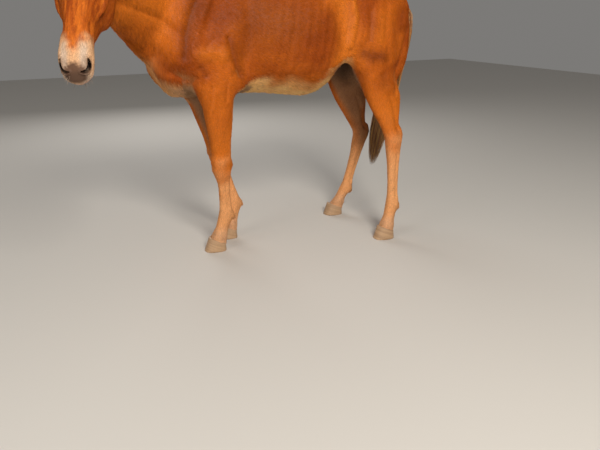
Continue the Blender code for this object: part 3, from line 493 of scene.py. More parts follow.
def halve_edges(piece, region):
    """Halves the edges whose ends are both in the region."""
    chosen = region(mesh_points(piece.data))
    bm = bmesh.new()
    bm.from_mesh(piece.data)
    bm.edges.ensure_lookup_table()
    ends = mesh_edges(piece.data)
    edges = [bm.edges[index] for index in np.nonzero(chosen[ends].all(axis=1))[0]]
    bmesh.ops.subdivide_edges(bm, edges=edges, cuts=1, use_grid_fill=True, smooth=0.0)
    bmesh.ops.triangulate(bm, faces=bm.faces)
    bm.to_mesh(piece.data)
    bm.free()


def near_eyes(points, reach):
    """Whether each point is within reach of an eye's middle."""
    distances = [np.linalg.norm(points - np.array(eye_middle[side]), axis=1) for side in SIDES]
    return np.min(distances, axis=0) < reach


def on_muzzle(points):
    """Whether each point is on the lower end of the face, with the nose, the lips and the chin."""
    place = head_place(points)
    return (place[:, 0] > MUZZLE_FINE_FROM) & (np.abs(place[:, 2]) < 0.09) & (place[:, 1] < 0.20)


def near_nostrils(points):
    """Whether each point is within 0.020 of the middle line of a nostril."""
    place = head_place(points)
    place[:, 2] = np.abs(place[:, 2])
    return from_line(place, NOSTRIL)[0] < 0.020


halve_edges(skin, on_muzzle)
halve_edges(skin, near_nostrils)
for reach in EYE_FINE_REACH:
    halve_edges(skin, lambda points: near_eyes(points, reach))


def eye_axes(side):
    """The way an eye looks, the way to its front corner, and the way to its upper lid."""
    sign = SIDES[side]
    gaze = (HEAD_LEFT * sign * 0.93 + FACE_OUT * 0.30 + FACE_DOWN * 0.10).normalized()
    corner = FACE_DOWN * 0.985 - FACE_OUT * 0.17
    corner = (corner - gaze * corner.dot(gaze)).normalized()
    upper = gaze.cross(corner)
    if upper.dot(FACE_OUT) < 0.0:
        upper = -upper
    return np.array(gaze), np.array(corner), np.array(upper)


LID_HALF_LENGTH = 0.84      # of the opening between the lids, as a share of the eye's radius
UPPER_LID_RISE = 0.52
LOWER_LID_FALL = 0.36
LID_THICKNESS = 0.0024
ORBIT_SWELL = 0.0060        # how far the bone round the eye stands out


def lid_measure(away, side):
    """Each point's place about an eye: 1 at the edge of the lids, less within and more outside. Then its
    height over the slit, its share along the slit, and how far it faces the way the eye looks."""
    gaze, corner, upper = eye_axes(side)
    distance = np.linalg.norm(away, axis=1)
    along, rise = away @ corner / distance, away @ upper / distance
    along_share = along / LID_HALF_LENGTH
    rise = rise + 0.10 * along_share - 0.02
    pinch = 1.0 - 0.30 * np.clip(along_share**2, 0.0, 1.0)
    rise_share = np.where(rise > 0.0, rise / UPPER_LID_RISE, rise / LOWER_LID_FALL) / pinch
    measure = np.sqrt(along_share**2 + rise_share**2)
    return measure, rise, along_share, away @ gaze / distance


def shape_lids(points):
    """Draws the skin round the eyes into lids with their folds."""
    for side in SIDES:
        middle = np.array(eye_middle[side])
        away = points - middle
        distance = np.linalg.norm(away, axis=1)
        measure, rise, along, facing = lid_measure(away, side)
        near = (distance < 0.050) & (facing > 0.05)
        edge = EYE_RADIUS + LID_THICKNESS
        # The lid lies on the ball, with a rounded edge, and passes into the face over a fold.
        lid = np.interp(measure, [0.0, 0.90, 0.97, 1.01, 1.07, 1.20, 1.50],
                        [EYE_RADIUS - 0.006, EYE_RADIUS - 0.005, EYE_RADIUS - 0.001, edge - 0.0006,
                         edge + 0.0004, edge + 0.0010, edge + 0.0024])
        upper, lower = ramp(rise, -0.05, 0.12), ramp(-rise, -0.05, 0.12)
        fade = ramp(measure, 1.30, 2.10)
        shaped = lid + (np.maximum(distance, edge) - lid) * fade
        shaped -= 0.0026 * upper * bell(measure - 1.48, 0.085) * ramp(-np.abs(along), -1.15, -0.7)
        shaped += 0.0016 * upper * bell(measure - 1.72, 0.13)
        shaped -= 0.0013 * upper * bell(measure - 1.98, 0.09)
        shaped -= 0.0015 * lower * bell(measure - 1.46, 0.09)
        shaped += 0.0010 * lower * bell(measure - 1.66, 0.10)
        shaped -= 0.0011 * lower * bell(measure - 1.90, 0.09)
        blend = (1.0 - ramp(distance, 0.040, 0.050)) * ramp(facing, 0.05, 0.30) * near
        moved = distance + (shaped - distance) * blend
        points[near] = (middle + away * (moved / distance)[:, None])[near]


# Lines on the head as distances down, behind and out, with their width and how far they rise on both sides.
FACE_FORMS = [
    ([(0.100, 0.020, 0.074), (0.150, 0.016, 0.088), (0.205, 0.030, 0.090)], 0.013, 0.0045),  # brow
    ([(0.085, 0.040, 0.082), (0.115, 0.034, 0.088)], 0.017, -0.0075),  # hollow over the eye
    ([(0.225, 0.078, 0.090), (0.300, 0.078, 0.080), (0.375, 0.073, 0.064)], 0.0100, 0.0034),  # facial crest
    ([(0.235, 0.100, 0.086), (0.320, 0.100, 0.074), (0.390, 0.094, 0.058)], 0.018, -0.0030),  # below it
    ([(0.225, 0.040, 0.070), (0.320, 0.038, 0.058), (0.420, 0.036, 0.050)], 0.019, -0.0040),  # by the nose
    ([(0.250, 0.006, 0.036), (0.360, 0.006, 0.029), (0.480, 0.008, 0.024)], 0.012, 0.0025),  # nasal bone
    ([(0.420, 0.036, 0.050), (0.452, 0.036, 0.049)], 0.016, -0.0036),  # nasal notch
    ([(0.470, 0.030, 0.050), (0.540, 0.030, 0.046)], 0.012, 0.0035),  # false nostril
    ([(0.300, 0.060, 0.080), (0.340, 0.110, 0.070), (0.352, 0.160, 0.060),
      (0.330, 0.205, 0.048)], 0.0045, 0.0022),  # edge of the cheek muscle
    ([(0.345, 0.085, 0.070), (0.352, 0.112, 0.066)], 0.0100, -0.0045),  # ahead of the cheek
    ([(0.235, 0.062, 0.080), (0.300, 0.060, 0.066), (0.385, 0.048, 0.055)], 0.0035, 0.0016),  # vein
    ([(0.300, 0.061, 0.068), (0.350, 0.090, 0.068), (0.362, 0.140, 0.056)], 0.0035, 0.0016),  # vein
    ([(0.090, 0.120, 0.086), (0.200, 0.140, 0.098), (0.300, 0.135, 0.086)], 0.040, 0.0045),  # cheek
    ([(0.140, 0.236, 0.046), (0.240, 0.238, 0.046), (0.330, 0.214, 0.038)], 0.012, 0.0030),  # jaw's edge
    ([(0.120, 0.238, 0.0), (0.300, 0.232, 0.0), (0.430, 0.170, 0.0)], 0.026, -0.0080),  # between the jaws
    ([(0.060, 0.090, 0.080), (0.100, 0.140, 0.088), (0.090, 0.200, 0.078)], 0.014, -0.0040),  # behind it
    ([(0.505, 0.105, 0.050), (0.488, 0.118, 0.046)], 0.0075, -0.0025),  # corner of the mouth
    ([(0.498, 0.086, 0.054), (0.492, 0.102, 0.052), (0.496, 0.118, 0.046)], 0.0032, -0.0016),
    ([(0.483, 0.088, 0.054), (0.476, 0.104, 0.052), (0.482, 0.120, 0.045)], 0.0032, -0.0012),
    ([(0.560, 0.128, 0.0), (0.588, 0.126, 0.0)], 0.020, 0.0020),  # chin
    ([(0.600, 0.060, 0.0), (0.620, 0.082, 0.0)], 0.0050, -0.0020),  # cleft of the lip
    ([(0.020, 0.012, 0.0), (0.120, -0.012, 0.0)], 0.016, 0.0020),  # middle of the brow
]
NOSE_WRINKLES = [((0.548, 0.052, 0.052), (0.560, 0.066, 0.052)),
                 ((0.536, 0.054, 0.053), (0.547, 0.070, 0.053)),
                 ((0.590, 0.070, 0.044), (0.602, 0.068, 0.034))]
WRINKLE_DEPTH, WRINKLE_WIDTH = 0.0011, 0.0020


def half_width_of_nostril(share):
    """The nostril's half width at a share of its length."""
    return np.interp(share, np.linspace(0.0, 1.0, len(NOSTRIL)), NOSTRIL_HALF_WIDTHS)


def shape_face(points, normals):
    """Raises the forms of the head, parts the lips, and sinks the nostrils into the nose."""
    place = head_place(points)
    head = (place[:, 0] > -0.02) & (head_share(points) > 0.3) & (ear_share(points) < 0.5)
    both = place[head]
    both[:, 2] = np.abs(both[:, 2])
    rise = np.zeros(len(both))
    from_eyes = [np.linalg.norm(points[head] - np.array(eye_middle[side]), axis=1) for side in SIDES]
    clear_of_eye = 1.0 - np.sum([bell(distance, 0.020) for distance in from_eyes], axis=0)
    for line, width, height in FACE_FORMS:
        rise += height * near_line(both, line, width) * clear_of_eye
    for wrinkle in NOSE_WRINKLES:
        rise -= WRINKLE_DEPTH * near_line(both, wrinkle, WRINKLE_WIDTH)
    # The lips part along the mouth, and are full on both sides of it.
    mouth = from_line(both, MOUTH)[0]
    rise += 0.0022 * bell(mouth - 0.0085, 0.0060) - 0.0060 * bell(mouth, 0.0024)
    # The wing of the nostril stands out round it.
    nostril, share = from_line(both, NOSTRIL)
    outside = nostril - half_width_of_nostril(share)
    inner_edge = np.interp(both[:, 0], [0.55, 0.578, 0.60], [0.030, 0.040, 0.020])
    outer_side = ramp(both[:, 2] - inner_edge, -0.004, 0.006)
    rise += (0.0030 + 0.0022 * outer_side) * bell(outside - 0.0035, 0.0045)
    points[head] += normals[head] * rise[:, None]
    for side in SIDES:
        away = points - np.array(eye_middle[side])
        distance = np.linalg.norm(away, axis=1)
        gaze = eye_axes(side)[0]
        swell = (1.0 - ramp(distance, 0.026, 0.064)) * ramp(away @ gaze, -0.010, 0.012)
        points += gaze * (ORBIT_SWELL * swell)[:, None]
    # The passage goes back, up and a little towards the middle of the nose, with steep walls.
    inward = np.array(-FACE_DOWN * 0.85 - FACE_OUT * 0.45)
    toward_middle = -np.sign(place[head][:, 2:3]) * np.array(HEAD_LEFT) * 0.30
    within = ramp(-outside, -0.0010, 0.0026)
    points[head] += (inward + toward_middle) * (NOSTRIL_DEPTH * within)[:, None]


mesh = skin.data
points = mesh_points(mesh)
points = relax(points, mesh_edges(mesh), 0.5 * (near_eyes(points, 0.060) | on_muzzle(points)), 4)
put_points(mesh, points)
nostrils = near_nostrils(points)
shape_face(points, mesh_normals(mesh))
points = relax(points, mesh_edges(mesh), 0.5 * nostrils, 5)
shape_lids(points)
put_points(mesh, points)

HEAD_TRIANGLES = 58000
FINE_TRIANGLES = 48000


def drawn_finer(points):
    """Whether each point is among the lids or on the nose and the lips."""
    return near_eyes(points, 0.034) | (head_place(points)[:, 0] > 0.50) & on_muzzle(points)


simplified(skin, lambda points: (head_share(points) >= 0.5) & ~drawn_finer(points), HEAD_TRIANGLES)
simplified(skin, drawn_finer, FINE_TRIANGLES)
skin.data.shade_smooth()

# ---------------------------------------------------------------------------------------------------------
# The markings: a sorrel coat with a mealy belly, pale insides of the legs and pale feet, a cream muzzle with
# a grey nose, and dark ears, with painted shade in the hollows between the muscles, under the neck, on the
# cheek and in the groin, and painted highlights on the ridges. Hide and coat take their colours from the
# same places on the body.
# ---------------------------------------------------------------------------------------------------------

CHESTNUT = (0.405, 0.074, 0.0060)
# The next colour is the coat's bright red, also used for the painted highlights on the body.
BRIGHT = (0.640, 0.168, 0.014)
# The next colour is the coat's dark red-brown, also used for the painted shade on the body and the cheek.
MAHOGANY = (0.158, 0.029, 0.0030)
FAWN = (0.700, 0.350, 0.135)
CREAM = (0.530, 0.380, 0.275)
BELLY = (0.960, 0.560, 0.215)
PALE_GREY = (0.300, 0.172, 0.092)
FOOT = (0.740, 0.360, 0.150)
NOSE_GREY = (0.120, 0.060, 0.034)
DARK_NOSE = (0.050, 0.028, 0.019)
INSIDE_NOSTRIL = (0.010, 0.005, 0.004)
# The groin's dark skin, darkened further as painted shade.
DARK_SKIN_AND_SHADE = (0.026, 0.015, 0.011)
LIP_RIM = (0.640, 0.390, 0.290)
LID_RIM = (0.230, 0.120, 0.080)
EAR_EDGE = (0.030, 0.014, 0.009)
EAR_INSIDE = (0.110, 0.040, 0.018)


def mixed(colours, colour, share):
    """The colours, or one colour, with a share of another colour for each point."""
    return np.asarray(colours) + (np.array(colour) - colours) * share[:, None]


def drift(points, size, seed):
    """A smooth random field between -1 and 1, made of waves with about the wanted length."""
    rng = np.random.default_rng(seed)
    total = np.zeros(len(points))
    for _ in range(9):
        direction = rng.normal(size=3)
        direction *= 2.0 * pi / size / np.linalg.norm(direction) * rng.uniform(0.6, 1.5)
        total += np.sin(points @ direction + rng.uniform(0.0, 2.0 * pi))
    return total / 3.2


def leg_place(points):
    """How far inward each point is from its leg's axis, and whether it is on a leg."""
    inward, on_leg = np.zeros(len(points)), np.zeros(len(points), dtype=bool)
    for (kind, side), line in LEG_LINES.items():
        offsets = leg_offsets(points, line)
        own = (np.hypot(offsets[:, 0], offsets[:, 1]) < 0.17) & (points[:, 2] < 0.92)
        own &= (points[:, 1] < 0.25) if kind == "fore" else (points[:, 1] > 0.25)
        own &= (points[:, 0] > body_middle(points[:, 1])) == (side == "left")
        inward[own] = -SIDES[side] * offsets[own, 0]
        on_leg |= own
    return inward, on_leg


def nose_shares(place):
    """On the head: the shares of cream, grey nose, nostril and lip rim, from its three distances."""
    down, behind, out = place[:, 0], place[:, 1], np.abs(place[:, 2])
    wander = drift(place, 0.035, 5) * 0.010 + drift(place, 0.012, 6) * 0.004
    border = (np.interp(out, [0.0, 0.018, 0.034, 0.050], [0.552, 0.530, 0.500, 0.488])
              + 0.10 * ramp(behind, 0.06, 0.15) + wander)
    cream = np.maximum(ramp(down - border, -0.050, 0.034),
                       ramp(behind, 0.085, 0.12) * ramp(down, 0.40, 0.50))
    both = np.column_stack([down, behind, out])
    inside = np.zeros(len(place))
    for depth in (1.05, 0.70, 0.35, 0.0):
        # The walls of the passage were carried in from its opening, so they are looked for there.
        nostril, share = from_line(both + np.array((0.85, -0.45, 0.30)) * NOSTRIL_DEPTH * depth, NOSTRIL)
        half_width = half_width_of_nostril(share)
        inside = np.maximum(inside, ramp(half_width * (1.0 - 0.30 * depth) - nostril, -0.0022, 0.0010))
    grey = ramp(down - 0.25 * (behind - 0.04) + wander * 0.6, 0.574, 0.592) * ramp(-out, -0.046, -0.026)
    grey = np.maximum(grey, bell(nostril - half_width, 0.010) * ramp(down, 0.545, 0.575) * 0.85)
    grey *= 1.0 - 0.75 * ramp(behind, 0.070, 0.084)
    rim = bell(from_line(both, MOUTH)[0] - 0.006, 0.0055) * ramp(down, 0.500, 0.560)
    return cream, grey, inside, rim


# Lines on the sides of the body, as distances along it and heights, with their width and how dark or bright.
# The dark lines are painted shade in the hollows and grooves between the muscles, where the coat is darker
# too;
# the bright lines are painted highlights on the ridges.
DARK_COAT_AND_SHADE_LINES = [
    ([(-0.305, 1.20), (-0.340, 1.12), (-0.362, 1.05), (-0.378, 0.97)], 0.025, 0.85),    # ahead of the arm
    ([(-0.165, 1.04), (-0.140, 0.93), (-0.110, 0.88)], 0.015, 0.60),                    # behind the triceps
    ([(-0.300, 0.915), (-0.285, 0.890)], 0.015, 0.55),                                  # elbow
    ([(0.395, 1.24), (0.432, 1.13), (0.440, 1.08)], 0.015, 0.40),                       # hollow of the flank
    ([(0.515, 0.965), (0.565, 0.950), (0.625, 0.945)], 0.030, 0.78),                    # above the stifle
    ([(0.638, 0.850), (0.645, 0.800)], 0.024, 0.45),                                    # behind it
    ([(0.770, 1.17), (0.765, 1.09)], 0.036, 0.45),                                      # buttock
    ([(0.560, 1.15), (0.548, 1.03)], 0.020, 0.35),                                      # front of the thigh
    ([(-0.22, 1.16), (0.02, 1.13), (0.26, 1.10)], 0.110, 0.30),                         # side of the chest
]
# Painted highlights on the ridges of the muscles.
PAINTED_HIGHLIGHT_LINES = [
    ([(0.458, 1.22), (0.472, 1.14), (0.456, 1.06)], 0.013, 0.75),                       # cord of the flank
    ([(-0.300, 0.985), (-0.205, 0.975)], 0.034, 0.50),                                  # side of the triceps
    ([(-0.450, 1.08), (-0.445, 1.03)], 0.042, 0.50),                                    # point of shoulder
    ([(0.410, 1.02), (0.400, 0.95)], 0.036, 0.45),                                      # fold of the flank
    ([(0.620, 1.12), (0.600, 1.03)], 0.032, 0.35),                                      # thigh
]


def lay_body(lay, points, normals, small, body):
    """Painted shade along the barrel, under the neck and in the hollows between the muscles, and painted
    highlights on the ridges of the shoulder, the flank and the quarters, over a coat that drifts darker and
    brighter.
    """
    level, side_view = points[:, 2], points[:, 1:3]
    broad = drift(points, 0.42, 1)
    lay(MAHOGANY, body * np.clip(0.24 + 0.13 * broad + 0.08 * small, 0.0, 0.50))
    lay(BRIGHT, body * np.clip(0.20 - 0.20 * broad - 0.08 * small, 0.0, 0.50))
    # Painted shade in the hollows and grooves between the muscles, where the coat is darker too.
    for line, width, share in DARK_COAT_AND_SHADE_LINES:
        lay(MAHOGANY, share * near_line(side_view, line, width) * body)
    # Painted shade on the side of the barrel.
    barrel_shade = bell(points[:, 1] - 0.06, 0.20) * bell(level - 1.10, 0.17) * body
    lay(MAHOGANY, 0.50 * barrel_shade)
    # Painted shade in the hollow behind the shoulder.
    lay(MAHOGANY, 0.38 * near_line(side_view, [(-0.02, 1.22), (-0.10, 0.98)], 0.035) * body)
    # Painted shade under the neck, where it faces down.
    throat_shade = ramp(-points[:, 1], 0.26, 0.34) * ramp(-normals[:, 2], 0.05, 0.6) * body
    lay(MAHOGANY, 0.30 * throat_shade)
    # A painted highlight down the flank.
    lay(BRIGHT, 0.72 * near_line(side_view, [(0.40, 1.22), (0.44, 1.02), (0.40, 0.90)], 0.060) * body)
    neck = ramp(-points[:, 1], 0.28, 0.50) * ramp(level, 1.02, 1.18) * body
    lay(BRIGHT, 0.66 * neck)
    # Painted highlights on the ridges of the muscles.
    for line, width, share in PAINTED_HIGHLIGHT_LINES:
        lay(BRIGHT, share * near_line(side_view, line, width) * body)
    rear_edge = ramp(normals[:, 1], 0.72, 0.97) * ramp(points[:, 1], 0.60, 0.68) * ramp(level, 0.56, 0.66)
    lay(FAWN, 0.50 * rear_edge * ramp(-level, -1.24, -1.10) * body)


def lay_pale_parts(lay, points, normals, small, body):
    """The mealy belly, breast and elbows, the insides of the legs and the feet, and painted shade over the
    dark skin of the groin.
    """
    level, from_middle = points[:, 2], points[:, 0] - body_middle(points[:, 1])
    inward, on_leg = leg_place(points)
    sooner = 0.10 * ramp(-points[:, 1], -0.16, 0.04) + 0.12 * ramp(points[:, 1], 0.22, 0.38)
    underside = ramp(-normals[:, 2] + 0.05 * small + sooner, 0.56, 0.90) * ramp(-level, -1.00, -0.90)
    belly = underside * ramp(points[:, 1], -0.24, -0.12) * (1.0 - ramp(points[:, 1], 0.40, 0.52))
    lay(BELLY, np.clip(belly * (0.90 + 0.12 * small), 0.0, 0.95))
    breast = ramp(-normals[:, 2] + 0.04 * small, 0.42, 0.86) * ramp(-level, -0.955, -0.87)
    breast *= ramp(-points[:, 1], 0.12, 0.20) * (1.0 - ramp(-points[:, 1], 0.44, 0.52))
    lay(FAWN, np.clip(breast * 1.1, 0.0, 0.90) * body)
    lay(CREAM, 0.30 * breast**2 * body)
    breastbone = bell(from_middle, 0.065) * ramp(-normals[:, 1], 0.15, 0.60)
    breastbone *= ramp(-level, -1.03, -0.94) * ramp(-points[:, 1], 0.28, 0.34) * (1.0 - on_leg)
    lay(FAWN, 0.70 * breastbone * body)
    elbow = on_leg * ramp(normals[:, 1], 0.55, 0.92) * ramp(level, 0.42, 0.55) * ramp(-level, -0.99, -0.88)
    lay(FAWN, 0.75 * elbow)
    upper_inner = ramp(inward, 0.004, 0.040) * on_leg * ramp(level, 0.30, 0.50) * ramp(-level, -1.00, -0.88)
    lay(PALE_GREY, 0.90 * upper_inner)
    # The hind legs pale sooner than the fore legs.
    hind = 0.10 * (points[:, 1] > 0.25)
    lay(BRIGHT, 0.66 * on_leg * ramp(-level + hind, -0.84, -0.56) * (1.0 - 0.8 * upper_inner))
    lay(FOOT, 0.84 * on_leg * ramp(-level - 0.040 * small + hind, -0.56, -0.24) * (1.0 - 0.6 * upper_inner))
    # Painted shade between the hind legs, over the dark skin of the groin.
    groin_skin_and_shade = bell(from_middle, 0.085) * bell(points[:, 1] - 0.535, 0.085)
    groin_skin_and_shade *= ramp(-level, -0.985, -0.935) * ramp(level, 0.74, 0.80)
    lay(DARK_SKIN_AND_SHADE, np.clip(1.35 * groin_skin_and_shade + 0.10 * small * groin_skin_and_shade, 0.0, 0.94))
    lay(CREAM, 0.35 * on_leg * ramp(-level, -0.15, -0.085))


def lay_head(lay, points, head):
    """Streaks down the face, painted shade on the cheek below the facial crest, a paler ring round the eye,
    and the muzzle's colours.
    """
    place = head_place(points)
    down, behind, out = place.T
    across = np.column_stack([down * 0.10, behind, out])
    streaks = drift(across, 0.022, 3) * 0.6 + drift(across, 0.009, 4) * 0.5
    streaks *= 1.0 - 0.60 * ramp(behind, 0.050, 0.095)
    lay(BRIGHT, head * np.clip(0.20 + 0.42 * streaks, 0.0, 0.8))
    lay(MAHOGANY, head * np.clip(0.24 - 0.34 * streaks, 0.0, 0.65))
    both = np.column_stack([down, behind, np.abs(out)])
    # Painted shade on the cheek below the facial crest.
    lay(MAHOGANY, 0.35 * near_line(both, [(0.24, 0.10, 0.09), (0.36, 0.10, 0.06)], 0.035) * head)
    for side in SIDES:
        away = points - np.array(eye_middle[side])
        distance = np.linalg.norm(away, axis=1)
        measure, rise, _, facing = lid_measure(away, side)
        ring = bell(distance - 0.036, 0.013) * ramp(-rise, -0.35, 0.30) * (facing > 0.0)
        lay(FAWN, 0.50 * ring)
        rim = ramp(-measure, -1.26, -1.10) * (facing > 0.15) * ramp(-distance, -0.0262, -0.0245)
        lay(LID_RIM, 0.92 * rim)
    cream, grey, inside, lips = nose_shares(place)
    face = head * (down > 0.36)
    white = bell(np.abs(out) - 0.031, 0.012) * ramp(down, 0.490, 0.520)
    whiteness = np.clip(0.40 + 0.75 * white + 0.25 * ramp(behind, 0.06, 0.10), 0.0, 1.0)
    lay(FAWN, cream * face)
    lay(CREAM, cream * face * whiteness)
    lay(NOSE_GREY, grey * face)
    lay(DARK_NOSE, grey * face * 0.55 * ramp(down, 0.592, 0.610))
    lay(LIP_RIM, 0.8 * lips * face)
    lay(INSIDE_NOSTRIL, inside * face * ramp(down, 0.545, 0.560))


def coat_colours(points, normals):
    """The colour of the hide and of the hair that grows from it, at each point."""
    colours = np.tile(np.array(CHESTNUT), (len(points), 1))
    head, small = head_share(points), drift(points, 0.10, 2)

    def lay(colour, share):
        """Lays a colour over what is there, by its share at each point."""
        colours[:] = mixed(colours, colour, share)

    lay_body(lay, points, normals, small, 1.0 - head)
    lay_pale_parts(lay, points, normals, small, 1.0 - head)
    lay_head(lay, points, head)
    return ear_colours(colours, points, ear_share(points))


EAR_LENGTH = 0.275
EAR_FLATNESS = 0.82             # the depth of an ear's roll as a share of its width
EAR_HOOK = 0.020                # how far the tip bends towards the opening


def ear_frame(side):
    """The root of an ear, the way to its tip, the way its opening faces and the way across it."""
    sign = SIDES[side]
    upright = (-FACE_DOWN * 0.90 + FACE_OUT * 0.38 + HEAD_LEFT * sign * 0.24).normalized()
    mouth = FACE_OUT * 0.80 + HEAD_LEFT * sign * 0.55 + FACE_DOWN * 0.10
    mouth = (mouth - upright * mouth.dot(upright)).normalized()
    return on_head(0.014, 0.054, 0.050 * sign), upright, mouth, upright.cross(mouth)


# Along an ear from root to tip: its radius, and how many degrees it wraps round on each side.
EAR_SHARES = [0.0, 0.10, 0.24, 0.40, 0.56, 0.72, 0.86, 0.95, 1.0]
EAR_RADII = [0.025, 0.031, 0.042, 0.050, 0.052, 0.047, 0.034, 0.019, 0.007]
EAR_WRAPS = [150.0, 142.0, 122.0, 104.0, 92.0, 82.0, 72.0, 64.0, 60.0]


def ear_place(points, side):
    """Along the ear from root to tip, how near its edge from 0 to 1, and 1 on the inner side."""
    root, upright, mouth, across = (np.array(axis) for axis in ear_frame(side))
    away = points - root
    share = np.clip(away @ upright / EAR_LENGTH, 0.0, 1.0)
    away = away - mouth * (EAR_HOOK * share**2)[:, None]
    radius = np.interp(share, EAR_SHARES, EAR_RADII)
    over, toward = away @ across, -(away @ mouth) / EAR_FLATNESS
    angle = np.degrees(np.arctan2(np.abs(over), toward))
    edge = np.clip(angle / np.interp(share, EAR_SHARES, EAR_WRAPS), 0.0, 1.2)
    distance = np.hypot(over, toward)
    return share, edge, ramp(radius - distance, 0.0018, 0.0036)


def ear_colours(colours, points, ears):
    """The colours with dark tips and edges on the ears, and a dark inside that is redder at the root."""
    for side, sign in SIDES.items():
        own = (ears > 0.0) & (head_place(points)[:, 2] * sign > 0.0)
        share, edge, inside = ear_place(points[own], side)
        plain = colours[own]
        outer = mixed(plain, EAR_EDGE,
                      np.clip(ramp(share, 0.55, 0.97) * 0.92 + ramp(edge, 0.80, 1.0) * 0.85, 0.0, 0.96))
        inner = mixed(EAR_INSIDE, EAR_EDGE,
                      np.clip(ramp(share, 0.45, 0.90) * 0.8 + 0.75 * ramp(edge, 0.84, 1.0), 0.0, 0.95))
        inner = mixed(inner, BRIGHT, 0.55 * ramp(-share, -0.38, -0.10))
        ear = outer + (inner - outer) * inside[:, None]
        colours[own] = plain + (ear - plain) * ears[own][:, None]
    return colours


def keep_colours(piece, colours, name="coat"):
    """Stores one colour for each point of a piece."""
    layer = piece.data.color_attributes.new(name, "FLOAT_COLOR", "POINT")
    layer.data.foreach_set("color", np.column_stack([colours, np.ones(len(colours))]).ravel())


points, normals = mesh_points(skin.data), mesh_normals(skin.data)
keep_colours(skin, coat_colours(points, normals))


def bare_share(points):
    """Where the hide has hardly any hair: the nose, the lips, the nostrils and the lids."""
    place = head_place(points)
    grey, inside, lips = nose_shares(place)[1:]
    bare = np.maximum(np.maximum(grey, inside), lips) * (place[:, 0] > 0.45) * head_share(points)
    for side in SIDES:
        away = points - np.array(eye_middle[side])
        measure, _, _, facing = lid_measure(away, side)
        near = ramp(-np.linalg.norm(away, axis=1), -0.0275, -0.0255) * (facing > 0.15)
        bare = np.maximum(bare, ramp(-measure, -1.34, -1.18) * near)
    return np.clip(bare, 0.0, 1.0)


face = head_share(points) * (1.0 - ear_share(points))
keep_colours(skin, np.column_stack([bare_share(points), face, leg_share(points)]), "places")


def hair_lie(points, normals):
    """The way the hair points: down the face, back from the neck along the barrel, and down the legs."""
    head, ears, legs = head_share(points), ear_share(points), leg_share(points)
    lie = np.tile(np.array((0.0, 0.86, -0.50)), (len(points), 1))
    chest = ramp(-points[:, 1], 0.30, 0.42) * (1.0 - head)
    lie += (np.array((0.0, 0.30, -0.9)) - lie) * chest[:, None] * 0.8
    quarters = ramp(points[:, 1], 0.50, 0.72)
    lie += (np.array((0.0, 0.35, -0.95)) - lie) * quarters[:, None] * 0.8
    neck = ramp(-points[:, 1], 0.30, 0.50) * ramp(points[:, 2], 1.0, 1.15) * (1.0 - head)
    lie += (np.array(-HEADING * 0.75 - UP * 0.65) - lie) * neck[:, None]
    lie += (np.array((0.0, 0.10, -1.0)) - lie) * legs[:, None]
    place = head_place(points)
    down_face = np.tile(np.array(FACE_DOWN), (len(points), 1))
    fall = ramp(place[:, 1], 0.05, 0.16) * (1.0 - ramp(place[:, 0], 0.35, 0.45))
    down_face += np.array(-FACE_OUT * 0.9 - FACE_DOWN * 0.3) * fall[:, None]
    outwards = np.sign(place[:, 2]) * 0.35 * bell(np.abs(place[:, 2]) - 0.04, 0.04)
    down_face += np.array(HEAD_LEFT) * outwards[:, None]
    lie += (down_face - lie) * head[:, None]
    for name, sign in SIDES.items():
        upright = np.array(ear_frame(name)[1])
        own = ears * (place[:, 2] * sign > 0.0)
        lie += (upright - lie) * own[:, None]
    lie += 0.22 * np.column_stack([drift(points, 0.09, 11 + k) for k in range(3)])
    lie -= normals * (lie * normals).sum(axis=1)[:, None]
    return lie / np.maximum(np.linalg.norm(lie, axis=1), 1e-6)[:, None]


def new_material(name, colour, roughness):
    """A material with its nodes, its links and its surface."""
    material = bpy.data.materials.new(name)
    material.use_nodes = True
    surface = material.node_tree.nodes["Principled BSDF"]
    surface.inputs["Base Color"].default_value = (*colour, 1.0)
    surface.inputs["Roughness"].default_value = roughness
    return material, material.node_tree.nodes, material.node_tree.links, surface


def new_node(nodes, kind, **values):
    """A node with some of its inputs set. An underscore in an input's name stands for a space."""
    node = nodes.new("ShaderNode" + kind)
    for name, value in values.items():
        node.inputs[name.replace("_", " ")].default_value = value
    return node


def stored_colour(nodes, name="coat"):
    """The colour that a piece keeps at its points."""
    stored = nodes.new("ShaderNodeAttribute")
    stored.attribute_name = name
    return stored.outputs["Color"]


# The hide's own paint: its markings, with fine streaks along the hair. The bare nose and lids have no
# streaks, only fine pores in their relief.
BODY_HAIR_TURN = Matrix(((0.0, 0.86, -0.51), (1.0, 0.0, 0.0), (0.0, -0.51, -0.86))).to_euler()
HEAD_HAIR_TURN = Matrix((FACE_DOWN, HEAD_LEFT, FACE_DOWN.cross(HEAD_LEFT))).to_euler()
LEG_HAIR_TURN = Matrix(((0.0, 0.0, -1.0), (1.0, 0.0, 0.0), (0.0, -1.0, 0.0))).to_euler()
hide, nodes, links, surface = new_material("hide", CHESTNUT, 0.55)
surface.inputs["Specular IOR Level"].default_value = 0.20
marks = stored_colour(nodes)
split = nodes.new("ShaderNodeSeparateColor")
links.new(stored_colour(nodes, "places"), split.inputs["Color"])
coordinates = nodes.new("ShaderNodeTexCoord")
streaks = []
for turn in (BODY_HAIR_TURN, HEAD_HAIR_TURN, LEG_HAIR_TURN):
    laid = new_node(nodes, "Mapping", Rotation=turn)
    drawn_out = new_node(nodes, "Mapping", Scale=(0.11, 1.0, 1.0))
    noise = new_node(nodes, "TexNoise", Scale=620.0, Detail=3.0)
    links.new(coordinates.outputs["Object"], laid.inputs["Vector"])
    links.new(laid.outputs["Vector"], drawn_out.inputs["Vector"])
    links.new(drawn_out.outputs["Vector"], noise.inputs["Vector"])
    streaks.append(noise.outputs["Fac"])
streak = streaks[0]
